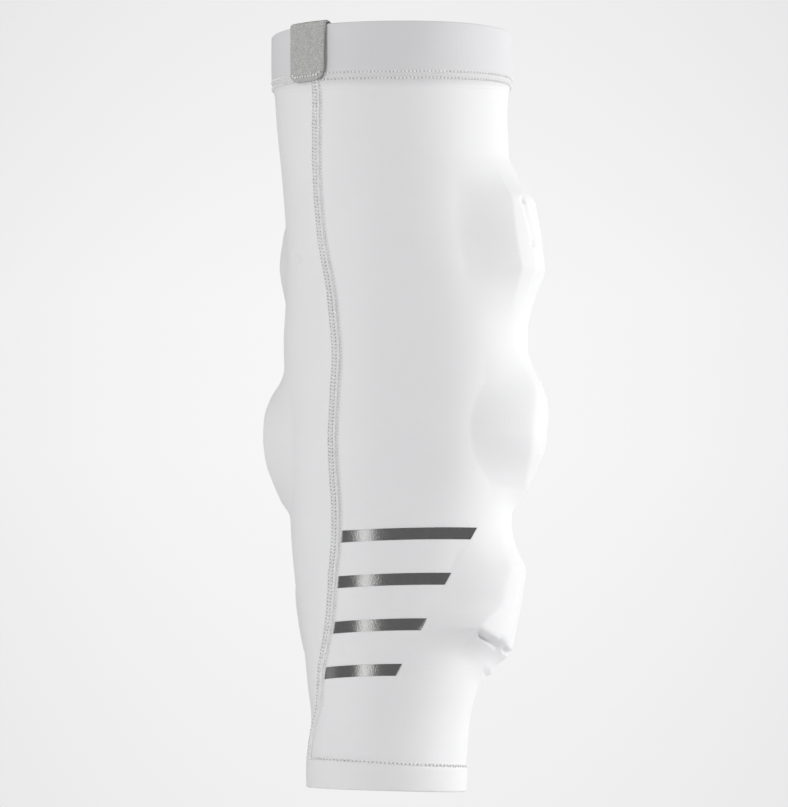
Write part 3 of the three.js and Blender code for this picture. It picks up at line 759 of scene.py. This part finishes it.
def make_top_cuff():
    line, rim = top_cuff_line(CUFF_ANGLES), top_rim(CUFF_ANGLES)
    low = TOP_CUFF_TAPER[0, 0]
    base = top_stitch_height(CUFF_ANGLES, 0)
    section = [(LIP_CLEARANCE, line + PIECE_GAP), (LIP_CLEARANCE, line + low + LIP_EDGE)]
    for share in TOP_FACE:
        height = line + low + share * (rim - RIM_ROUND - line - low)
        lift = CUFF_PROUD * np.interp(height - line, *TOP_CUFF_TAPER.T)
        dent = stitch_dent(base - height, TOP_STITCH_ROWS) * smooth(0, DENT_FADE, height - line)
        section.append((lift + dent, height))
    for offset, up in rim_arc(-FABRIC_WALL, CUFF_PROUD)[1:]:
        section.append((offset, rim - RIM_ROUND + up))
    for share in TOP_LINING:
        section.append((-FABRIC_WALL, line + PIECE_GAP + share * (rim - RIM_ROUND - line - PIECE_GAP)))
    section.append((-FABRIC_WALL, line + PIECE_GAP))
    return make_cuff("top_band", section, line)


def make_bottom_cuff():
    line, rim = bottom_cuff_line(CUFF_ANGLES), bottom_rim(CUFF_ANGLES)
    proud, high = CUFF_PROUD * BOTTOM_CUFF_TAPER[0, 1], BOTTOM_CUFF_TAPER[-1, 0]
    section = [(offset, rim + RIM_ROUND - up) for offset, up in rim_arc(-FABRIC_WALL, proud)[::-1]]
    stitch = bottom_stitch_height(CUFF_ANGLES)
    for share in BOTTOM_FACE:
        height = rim + RIM_ROUND + share * (line + high - rim - RIM_ROUND)
        lift = CUFF_PROUD * np.interp(height - line, *BOTTOM_CUFF_TAPER.T)
        dent = stitch_dent(height - stitch, (0,))
        section.append((np.maximum(lift + dent, LIP_CLEARANCE + LEAST_STEP), height))
    section += [
        (LIP_CLEARANCE, line + high - LIP_EDGE),
        (LIP_CLEARANCE, line - PIECE_GAP),
        (-FABRIC_WALL, line - PIECE_GAP),
    ]
    for share in BOTTOM_LINING:
        section.append((-FABRIC_WALL, rim + RIM_ROUND + share * (line - rim - RIM_ROUND)))
    return make_cuff("bottom_band", section, line)


def cuff_lift(around, height):
    """How far the cuffs' outer faces stand off the bare arm at a place."""
    over = np.interp(height - top_cuff_line(around), *TOP_CUFF_TAPER.T, left=0)
    under = np.interp(height - bottom_cuff_line(around), *BOTTOM_CUFF_TAPER.T, right=0)
    return CUFF_PROUD * (over + under)


def seam_at(height):
    width, depth, _ = section_at(height)
    around = around_at(width, depth, column(SEAM_ROUTE, 1, along_arm(height)))
    return around, np.degrees(1 / arm_radius(width, depth, around))


def seam_heights(count):
    start = bottom_cuff_line(seam_at(-FOREARM_LENGTH + BOTTOM_CUFF_HEIGHT)[0])
    end = top_cuff_line(seam_at(UPPER_LENGTH - TOP_CUFF_HEIGHT)[0]) + SEAM_OVER_TOP
    return np.linspace(float(start) - SEAM_UNDER_LINE, float(end), count)


def on_seam(across, height, lift):
    around, per_mm = seam_at(height)
    around = around + (across + SEAM_SHIFT) * per_mm
    return fabric_point(around, height, lift + cuff_lift(around, height))


def make_seam():
    heights = seam_heights(SEAM_ROWS)[:, None]
    across, lift = SEAM_SECTION.T[:, None, :]
    sway = PUCKER_SWAY * np.cos(across * PUCKER_ACROSS)
    pucker = 1 + PUCKER * np.sin(heights * 2 * math.pi / STITCH_PITCH + sway)
    outer = on_seam(across, heights, lift * pucker)
    inner = on_seam(across, heights, 0 * lift + SEAM_BASE)
    uvs = np.stack(np.broadcast_arrays(across + SEAM_WIDTH / 2, heights), -1)
    return slab("seam_strip", outer, inner, uvs)


def frames_of(points, nexts):
    """For each point, directions along the row, across it and out from the arm's middle."""
    middle = section_at(points[:, 2])[2]
    outward = unit(np.stack([points[:, 0] - middle, points[:, 1], 0 * middle], -1))
    along = unit(nexts - points)
    out = unit(outward - np.sum(outward * along, -1, keepdims=True) * along)
    return along, np.cross(out, along), out


def bead_template():
    """A low ellipsoid of unit half sizes: points and faces."""
    turns = math.pi * np.arange(1, BEAD_RINGS + 1)[:, None] / (BEAD_RINGS + 1)
    a = 2 * math.pi * np.arange(BEAD_SIDES) / BEAD_SIDES
    rings = [-np.cos(turns) + 0 * a, np.sin(turns) * np.cos(a), np.sin(turns) * np.sin(a)]
    points = np.concatenate([[(-1, 0, 0)], np.stack(rings, -1).reshape(-1, 3), [(1, 0, 0)]])
    faces = []
    last = len(points) - 1
    for side in range(BEAD_SIDES):
        after = (side + 1) % BEAD_SIDES
        faces.append((0, 1 + after, 1 + side))
        for ring in range(BEAD_RINGS - 1):
            a, b = 1 + ring * BEAD_SIDES + side, 1 + ring * BEAD_SIDES + after
            faces.append((a, b, b + BEAD_SIDES))
            faces.append((a, b + BEAD_SIDES, a + BEAD_SIDES))
        top = 1 + (BEAD_RINGS - 1) * BEAD_SIDES
        faces.append((top + side, top + after, last))
    return points, np.array(faces)


def stitches(name, rows):
    """Many small beads joined in one mesh. Each row holds arrays: the beads' places, places further along
    the row, lengths, widths, heights, and turns out of the row."""
    base, faces = bead_template()
    all_points, all_faces, count = [], [], 0
    for points, nexts, length, width, height, turn in rows:
        along, across, out = frames_of(points, nexts)
        c, s = np.cos(turn)[:, None], np.sin(turn)[:, None]
        run, side = along * c + across * s, across * c - along * s
        axes = np.stack([run * length[:, None], side * width[:, None], out * height[:, None]], 1) / 2
        body = points[:, None, :] + base @ axes
        n = len(points)
        starts = count + np.arange(n)[:, None, None] * len(base)
        all_points.append(body.reshape(-1, 3))
        all_faces.append((faces[None] + starts).reshape(-1, 3))
        count += n * len(base)
    return build(name, np.concatenate(all_points), np.concatenate(all_faces))


def jitter(count, share):
    return 1 + share * (rng.random(count) - 0.5)


def zigzag(count, turn):
    """Angles that lean to one side and the other, one by one."""
    return np.radians(turn) * np.where(np.arange(count) % 2, 1, -1) * jitter(count, TURN_VARIES)


def row_of(points, nexts, size, turns, share):
    """A row of stitches whose length, width and height vary by a share."""
    return points, nexts, *(side * jitter(len(points), share) for side in size), turns


def seam_row(across, lift, length, width, height, turn, start):
    low, high = seam_heights(2)
    heights = np.arange(low + SEAM_FIRST_STITCH + start, high - SEAM_LAST_STITCH, STITCH_PITCH)
    n = len(heights)
    sides = across + SEAM_STITCH_PLAY * (rng.random(n) - 0.5)
    points = on_seam(sides, heights, lift)
    nexts = on_seam(sides, heights + 0.5, lift)
    turns = np.radians(turn) * jitter(n, SEAM_TURN_VARIES)
    return row_of(points, nexts, (length, width, height), turns, SIZE_VARIES)


def cuff_row(cuff, row, lift, length, width, height, turn, start):
    top = cuff == "top"
    wide, deep = (TOP_WIDTH, TOP_DEPTH) if top else (WRIST_WIDTH, WRIST_DEPTH)

    def at(around):
        if top:
            return arm_point(around, top_stitch_height(around, TOP_STITCH_ROWS[row]), lift)
        return arm_point(around, bottom_stitch_height(around), lift)

    n = int(math.pi * math.sqrt((wide**2 + deep**2) / 2) / CUFF_PITCH[cuff])
    around = (np.arange(n) + start) * 360 / n
    turns = zigzag(n, turn)
    return row_of(at(around), at(around + 0.5), (length, width, height), turns, SIZE_VARIES)


def make_stripe(index):
    top = FIRST_STRIPE_TOP - index * STRIPE_PITCH
    levels = np.concatenate([[0, THIN_ROW], np.linspace(0.15, 0.85, STRIPE_ROWS), [1 - THIN_ROW, 1]])
    heights = top - STRIPE_HEIGHT * (1 - levels)[:, None]
    t = np.linspace(0, 1, STRIPE_COLUMNS)[None, :]
    width, depth, middle = section_at(heights)
    seam, per_mm = seam_at(heights)
    start = seam + (SEAM_WIDTH / 2) * per_mm + np.degrees(STRIPE_GAP / depth)
    around = mix(start, around_at(width, depth, (stripe_end(heights) - middle) / width), t)
    places = heights - STRIPE_SEAM_DIP * (1 - t) ** 2
    outer = fabric_point(around, places, FILM_LIFT + FILM_THICKNESS)
    inner = fabric_point(around, places, FILM_LIFT)
    arc = np.cumsum(np.linalg.norm(np.diff(outer, axis=1, prepend=outer[:, :1]), axis=-1), axis=1)
    return slab(f"stripe_film_{index + 1}", outer, inner, np.stack([arc, places], -1))


def tab_route(around, share):
    """The ribbon's middle line at one place across it, from its outer end over the rim to its inner end."""
    rim = float(top_rim(around))
    from_edge = min(share, 1 - share) * TAB_WIDTH
    short_by = TAB_CORNER - math.sqrt(TAB_CORNER**2 - max(TAB_CORNER - from_edge, 0) ** 2)
    half = TAB_THICKNESS / 2
    standoff = TAB_STANDOFF * share * share
    out = CUFF_PROUD + PIECE_GAP + half
    inside = -FABRIC_WALL - PIECE_GAP - half
    over = rim + PIECE_GAP / 2
    low, inner_low = rim - TAB_DROP + short_by, rim - TAB_INSIDE_DROP
    outer = [(out + standoff * (1 - t**4), low + (over - low) * t) for t in np.linspace(0, 1, TAB_ROWS)]
    arc = []
    for turn in np.linspace(0, math.pi, TAB_TURN_ROWS)[1:-1]:
        offset = (out + inside) / 2 + (out - inside) / 2 * math.cos(turn)
        arc.append((offset, over + TAB_TURN_RISE * math.sin(turn)))
    inner = [(inside, over + (inner_low - over) * t) for t in np.linspace(0, 1, TAB_INSIDE_ROWS)]
    offsets, heights = np.array(outer + arc + inner).T
    return arm_point(around, heights, offsets)


def tab_radius():
    return float(arm_radius(*section_at(UPPER_LENGTH)[:2], TAB_AROUND))


def make_tab():
    half = math.degrees(TAB_WIDTH / 2 / tab_radius())
    shares = np.linspace(0, 1, TAB_COLUMNS)
    middle = np.stack([tab_route(TAB_AROUND + mix(-half, half, s), s) for s in shares], 1)
    out = unit(np.cross(np.gradient(middle, axis=1), np.gradient(middle, axis=0)))
    from_edge = np.minimum(shares, 1 - shares) * TAB_WIDTH
    fullness = np.sqrt(np.clip(from_edge / TAB_THIN_EDGE, TAB_THINNEST, 1))[None, :, None]
    half_thick = TAB_THICKNESS / 2 * fullness
    arc = np.cumsum(np.linalg.norm(np.diff(middle, axis=0, prepend=middle[:1]), axis=-1), axis=0)
    uvs = np.stack([shares[None, :] * TAB_WIDTH + 0 * arc, arc], -1)
    return slab("ribbon_tab", middle + out * half_thick, middle - out * half_thick, uvs)


def tab_row(moved, size, turn):
    """A row of stitches a little inside the ribbon's rounded lower end, moved to the right."""
    turns = zigzag(TAB_STITCHES, turn) if turn else np.zeros(TAB_STITCHES)
    shares = (np.arange(TAB_STITCHES) + 0.5) / TAB_STITCHES
    places = mix(TAB_STITCH_SIDE, TAB_WIDTH - TAB_STITCH_SIDE, shares)
    turn_at = TAB_CORNER - TAB_STITCH_IN
    from_edge = np.minimum(places, TAB_WIDTH - places) - TAB_STITCH_SIDE
    short_by = turn_at - np.sqrt(turn_at**2 - np.clip(turn_at - from_edge, 0, turn_at) ** 2)

    def at(move):
        around = TAB_AROUND + np.degrees((places + move - TAB_WIDTH / 2) / tab_radius())
        standoff = TAB_STANDOFF * ((places + move) / TAB_WIDTH) ** 2
        lift = CUFF_PROUD + PIECE_GAP + TAB_THICKNESS + standoff + TAB_STITCH_LIFT
        return arm_point(around, top_rim(around) - TAB_DROP + TAB_STITCH_IN + short_by, lift)

    return row_of(at(moved), at(moved + 0.5), size, turns, TAB_SIZE_VARIES)


def make_pad(pad):
    """A foam pad in the space between the fabric and the arm, swelled a little by a cloth run."""
    shares = np.linspace(PAD_SIDE_IN, 1 - PAD_SIDE_IN, PAD_NET_COLUMNS)
    outer, inner = [], []
    for up in np.linspace(PAD_END_IN, 1 - PAD_END_IN, PAD_NET_ROWS):
        around = mix(*side_edges(pad, up), shares)
        heights = mix(end_edge(pad, shares, -1), end_edge(pad, shares, 1), up)
        outer.append(fabric_point(around, heights, -FABRIC_WALL - PIECE_GAP - PAD_START_PLAY))
        inner.append(arm_point(around, heights, -FABRIC_WALL + PAD_START_PLAY))
    obj = slab("foam_" + pad["name"], np.array(outer), np.array(inner))
    swell(obj)
    return obj


def swell(obj):
    """Voxel remesh, a short cloth run with pressure, and a cap on how far a point moves."""
    remesh = obj.modifiers.new("remesh", "REMESH")
    remesh.mode = "VOXEL"
    remesh.voxel_size = SWELL_VOXEL * MM
    apply_modifiers(obj)
    before = mesh_points(obj)
    cloth = obj.modifiers.new("cloth", "CLOTH")
    cloth.settings.use_pressure = True
    cloth.settings.uniform_pressure_force = SWELL_PRESSURE
    cloth.settings.effector_weights.gravity = 0
    cloth.settings.quality = SWELL_QUALITY
    cloth.point_cache.frame_start, cloth.point_cache.frame_end = 1, SWELL_FRAMES
    for number in range(1, SWELL_FRAMES + 1):
        bpy.context.scene.frame_set(number)
    apply_modifiers(obj)
    bpy.context.scene.frame_set(1)
    moved = mesh_points(obj) - before
    far = np.linalg.norm(moved, axis=-1, keepdims=True)
    capped = before + moved * np.minimum(1, SWELL_CAP * MM / np.maximum(far, 1e-9))
    obj.data.vertices.foreach_set("co", capped.ravel())
    fine = obj.modifiers.new("fine", "SUBSURF")
    fine.levels = fine.render_levels = 1
    apply_modifiers(obj)
    obj.data.shade_smooth()
    obj.data.update()


def mesh_points(obj):
    points = np.empty(len(obj.data.vertices) * 3)
    obj.data.vertices.foreach_get("co", points)
    return points.reshape(-1, 3)


def apply_modifiers(obj):
    """Puts the result of the modifiers in the mesh and takes them off."""
    graph = bpy.context.evaluated_depsgraph_get()
    made = bpy.data.meshes.new_from_object(obj.evaluated_get(graph))
    obj.modifiers.clear()
    obj.data = made


class Nodes:
    """A tree of shader nodes."""

    def __init__(self, tree):
        self.tree = tree

    def add(self, kind, inputs=None, **settings):
        node = self.tree.nodes.new("ShaderNode" + kind)
        for key, value in settings.items():
            setattr(node, key, value)
        for key, value in (inputs or {}).items():
            self.put(value, node.inputs[key])
        return node

    def put(self, value, socket):
        if isinstance(value, bpy.types.NodeSocket):
            self.tree.links.new(value, socket)
        elif isinstance(value, bpy.types.Node):
            self.tree.links.new(value.outputs[0], socket)
        else:
            socket.default_value = value

    def math(self, operation, a, b=0.0):
        return self.add("Math", {0: a, 1: b}, operation=operation).outputs[0]

    def times(self, a, b):
        return self.math("MULTIPLY", a, b)

    def plus(self, a, b):
        return self.math("ADD", a, b)

    def wave(self, value, pitch):
        return self.math("SINE", self.times(value, 2 * math.pi / pitch))

    def noise(self, vector, scale, detail=2.0):
        return self.add("TexNoise", {"Vector": vector, "Scale": scale, "Detail": detail}).outputs["Fac"]

    def ramp(self, value, stops):
        node = self.add("ValToRGB", {"Fac": value})
        ramp = node.color_ramp
        while len(ramp.elements) < len(stops):
            ramp.elements.new(0.5)
        for element, (place, colour) in zip(ramp.elements, stops):
            element.position = place
            element.color = (*colour, 1)
        return node.outputs[0]

    def mapped(self, value, low, high, span=(0, 1), **settings):
        ends = {"From Min": span[0], "From Max": span[1], "To Min": low, "To Max": high}
        return self.add("MapRange", {"Value": value, **ends}, **settings).outputs[0]

    def bump(self, height, strength, deep):
        return self.add("Bump", {"Height": height, "Strength": strength, "Distance": deep})


class Material(Nodes):
    """A shaded material, with the place on the object and the weave map to draw its patterns on."""

    def __init__(self, name):
        self.material = bpy.data.materials.new(name)
        self.material.use_nodes = True
        super().__init__(self.material.node_tree)
        self.shader = self.tree.nodes["Principled BSDF"]
        self.place = self.add("TexCoord").outputs["Object"]

    def weave(self):
        split = self.add("SeparateXYZ", {0: self.add("UVMap", uv_map="weave")})
        return split.outputs[0], split.outputs[1]

    def finish(self, **inputs):
        for key, value in inputs.items():
            self.put(value, self.shader.inputs[key.replace("_", " ")])
        return self.material


def knit_material(name, light, dark, rough=0.66, edge=None):
    """Fine stretch knit: columns of small loops, a faint mottle, and a soft sheen. Towards a cuff's line
    its colour runs into the colour given as edge."""
    n = Material(name)
    wale, course = n.weave()
    loop = n.wave(course, KNIT_COURSE)
    lean = n.times(loop, KNIT_LEAN)
    ribs = n.math("SINE", n.plus(n.times(wale, 2 * math.pi / KNIT_WALE), lean))
    knit = n.plus(n.times(ribs, 0.5), n.times(loop, 0.3))
    grain = n.noise(n.place, KNIT_GRAIN, 3)
    drift = n.noise(n.place, KNIT_DRIFT, 2)
    bump = n.bump(n.plus(knit, n.times(grain, 1.2)), 0.12, 0.0003)
    colour = n.ramp(n.plus(n.times(drift, 0.5), n.times(grain, 0.5)), [(0.3, dark), (0.7, light)])
    if edge:
        near = n.mapped(course, 1, 0, CUFF_EDGE)
        colour = n.add("MixRGB", {"Fac": near, "Color1": colour, "Color2": (*edge, 1)})
    n.finish(Sheen_Weight=0.12, Sheen_Roughness=0.5, Specular_IOR_Level=0.25)
    return n.finish(Base_Color=colour, Roughness=n.mapped(grain, rough - 0.05, rough + 0.05), Normal=bump)


# Twisted thread with a patchy colour, also used for the dark beads that paint the shade in needle holes
def stitch_and_shade_material(name, light, dark, rough):
    n = Material(name)
    twist = n.add("TexWave", {"Vector": n.place, "Scale": THREAD_TWIST, "Distortion": 2})
    patchy = n.noise(n.place, THREAD_PATCHES, 2)
    bump = n.bump(twist.outputs["Fac"], 0.25, 0.0001)
    colour = n.ramp(patchy, [(0.35, dark), (0.62, light)])
    return n.finish(Base_Color=colour, Roughness=rough, Specular_IOR_Level=0.35, Normal=bump)


def ribbon_material():
    """Heathered woven ribbon: grey and pale fibres over a fine twill."""
    n = Material("heather_ribbon")
    across, along = n.weave()
    twill = n.wave(n.plus(across, n.times(along, RIBBON_TWILL_SLOPE)), RIBBON_TWILL)
    picks = n.wave(along, RIBBON_PICK)
    stretch = n.add("Mapping", {"Vector": n.place, "Scale": (1, 1, RIBBON_STRETCH)}).outputs[0]
    fibres = n.noise(stretch, RIBBON_FIBRES, 4)
    clouds = n.noise(n.place, RIBBON_CLOUDS, 2)
    tone = n.plus(n.times(fibres, 0.88), n.times(clouds, 0.12))
    greys = [(0.36, (0.37, 0.37, 0.36)), (0.52, (0.49, 0.49, 0.475)), (0.66, (0.66, 0.66, 0.645))]
    colour = n.ramp(tone, greys)
    height = n.plus(n.plus(n.times(twill, 0.5), n.times(picks, 0.4)), fibres)
    bump = n.bump(height, 0.35, 0.0002)
    return n.finish(Base_Color=colour, Roughness=0.85, Specular_IOR_Level=0.25, Normal=bump)


def film_material():
    """Dark reflective film: fine beads in a grey carrier, so that glints break up into grains."""
    n = Material("reflective_film")
    beads = n.noise(n.place, FILM_BEADS, 2)
    patches = n.noise(n.place, FILM_PATCHES, 2)
    colour = n.ramp(patches, [(0.3, (0.21, 0.21, 0.207)), (0.7, (0.232, 0.232, 0.229))])
    bump = n.bump(beads, 0.3, 0.0002)
    n.finish(Metallic=1.0, Specular_IOR_Level=0.5)
    return n.finish(Base_Color=colour, Roughness=n.mapped(beads, 0.12, 0.22), Normal=bump)


def foam_material():
    """Closed-cell foam with fine pores."""
    n = Material("pad_foam")
    pores = n.add("TexVoronoi", {"Vector": n.place, "Scale": FOAM_PORES}).outputs["Distance"]
    cloud = n.noise(n.place, FOAM_CLOUDS, 3)
    colour = n.ramp(cloud, [(0.35, (0.68, 0.68, 0.69)), (0.65, (0.8, 0.8, 0.81))])
    return n.finish(Base_Color=colour, Roughness=0.88, Normal=n.bump(pores, 0.3, 0.0004))


def wear(obj, material):
    obj.data.materials.clear()
    obj.data.materials.append(material)


def make_camera():
    data = bpy.data.cameras.new("camera")
    data.lens = CAMERA_LENS
    camera = placed("camera", data)
    camera.location = Vector(CAMERA_PLACE) * MM
    camera.rotation_euler = (math.radians(90 + CAMERA_PITCH), 0, 0)
    bpy.context.scene.camera = camera


def make_lights():
    for name, bearing, up, away, wide, tall, power in LIGHTS:
        data = bpy.data.lights.new(name, "AREA")
        data.shape = "RECTANGLE"
        data.size, data.size_y = wide, tall
        data.energy = power
        light = placed(name, data)
        a = math.radians(bearing)
        light.location = (away * math.sin(a), -away * math.cos(a), up)
        light.rotation_euler = (Vector(LIGHT_AIM) - light.location).to_track_quat("-Z", "Y").to_euler()
        light.visible_camera = False
        light.visible_diffuse = name != "glint"
        light.visible_glossy = name != "strip"


def make_world():
    """A pale surround that fades a little above and below, and lights the scene more weakly."""
    world = bpy.data.worlds.new("studio")
    bpy.context.scene.world = world
    world.use_nodes = True
    world.node_tree.nodes.clear()
    n = Nodes(world.node_tree)
    way = n.add("SeparateXYZ", {0: n.add("TexCoord").outputs["Generated"]})
    aside, rise = way.outputs[0], way.outputs[2]
    span = n.mapped(rise, 0, 1, WORLD_SPAN)
    grey = n.ramp(span, [(place, (value, value, value)) for place, value in WORLD_GREYS])
    fall = n.plus(n.times(n.times(aside, aside), -WORLD_SIDE_FALL), WORLD_MIDDLE)
    shown = n.add("Background", {"Color": grey, "Strength": n.math("MAXIMUM", fall, WORLD_SIDE_LEAST)})
    light = n.add("Background", {"Color": (WORLD_LIGHT, WORLD_LIGHT, WORLD_LIGHT * WORLD_BLUE, 1)})
    seen = n.add("LightPath").outputs["Is Camera Ray"]
    n.add("OutputWorld", {"Surface": n.add("MixShader", {0: seen, 1: light, 2: shown})})


def floor_material():
    """Pale matt floor that fades out towards its edge."""
    n = Material("pale_floor")
    far = n.add("VectorMath", {0: n.place}, operation="LENGTH").outputs["Value"]
    fade = n.mapped(far, 1, 0, FLOOR_FADE, interpolation_type="SMOOTHSTEP")
    mottle = n.noise(n.place, FLOOR_MOTTLE, 2)
    colour = n.ramp(mottle, [(0.3, (0.84, 0.84, 0.845)), (0.7, (0.87, 0.87, 0.872))])
    return n.finish(Base_Color=colour, Roughness=0.9, Alpha=fade)


def make_floor():
    turns = np.arange(FLOOR_SIDES) * 2 * math.pi / FLOOR_SIDES
    points = FLOOR_RADIUS / MM * np.stack([np.cos(turns), np.sin(turns), 0 * turns], -1)
    floor = build("floor", points, [range(FLOOR_SIDES)])
    floor.location.z = FLOOR_HEIGHT
    floor.visible_glossy = False
    wear(floor, floor_material())


bpy.context.scene.view_settings.view_transform = "Standard"
make_camera()
make_world()
make_lights()
make_floor()

white_knit = knit_material("white_knit", light=(0.88, 0.88, 0.885), dark=(0.85, 0.85, 0.856))
cuff_knit = knit_material(
    "cuff_knit", light=(0.76, 0.755, 0.765), dark=(0.72, 0.715, 0.725), edge=(0.865, 0.865, 0.87)
)
seam_knit = knit_material("seam_knit", light=(0.9, 0.9, 0.9), dark=(0.84, 0.84, 0.84), rough=0.72)
thread = stitch_and_shade_material("white_thread", light=(0.94, 0.94, 0.935), dark=(0.88, 0.88, 0.875), rough=0.5)
# Dark and pale grey beads paint the shade in the needle holes
dark_hole_shade = stitch_and_shade_material("painted_hole_shade", light=(0.34, 0.34, 0.335), dark=(0.2, 0.2, 0.198), rough=0.9)
pale_hole_shade = stitch_and_shade_material(
    "pale_painted_hole_shade", light=(0.62, 0.62, 0.615), dark=(0.46, 0.46, 0.455), rough=0.9
)
ribbon = ribbon_material()
film = film_material()
foam = foam_material()

sleeve = make_sleeve()
top_cuff = make_top_cuff()
bottom_cuff = make_bottom_cuff()
seam = make_seam()
seam_threads = stitches("seam_stitches", [seam_row(*row) for row in SEAM_THREADS])
# Dark beads that paint the shade in the seam's needle holes
seam_hole_shade = stitches("seam_painted_hole_shade", [seam_row(*row) for row in SEAM_HOLE_SHADE])
cuff_threads = stitches("cuff_stitches", [cuff_row(*row) for row in CUFF_THREADS])
# Dark beads that paint the shade in the cuffs' needle holes
cuff_hole_shade = stitches("cuff_painted_hole_shade", [cuff_row(*row) for row in CUFF_HOLE_SHADE])
tab = make_tab()
tab_threads = stitches("tab_stitches", [tab_row(0, TAB_THREAD, TAB_STITCH_TURN)])
# Dark beads that paint the shade in the tab's needle holes
tab_hole_shade = stitches("tab_painted_hole_shade", [tab_row(TAB_HALF_PITCH, TAB_HOLE_SHADE, 0)])
stripes = [make_stripe(i) for i in range(STRIPE_COUNT)]
pads = [make_pad(pad) for pad in PADS]

PIECES = [
    (sleeve, "sleeve", "white_knit", white_knit),
    (top_cuff, "top_cuff", "white_knit", cuff_knit),
    (bottom_cuff, "bottom_cuff", "white_knit", white_knit),
    (seam, "side_seam", "seam_knit", seam_knit),
    (seam_threads, None, "seam_knit", thread),
    # Beads painted grey for the shade in needle holes
    (seam_hole_shade, None, "seam_knit", pale_hole_shade),
    (cuff_threads, None, "white_knit", thread),
    (cuff_hole_shade, None, "white_knit", pale_hole_shade),
    (tab, "pull_tab", "grey_ribbon", ribbon),
    (tab_threads, None, "white_knit", thread),
    (tab_hole_shade, None, "grey_ribbon", dark_hole_shade),
]
PIECES += [(stripe, f"stripe_{i + 1}", "grey_film", film) for i, stripe in enumerate(stripes)]
PIECES += [(obj, pad["name"], "pad_foam", foam) for obj, pad in zip(pads, PADS)]

for piece, node, slot, material in PIECES:
    wear(piece, material)
    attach(piece, "root")
    if node:
        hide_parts(node)
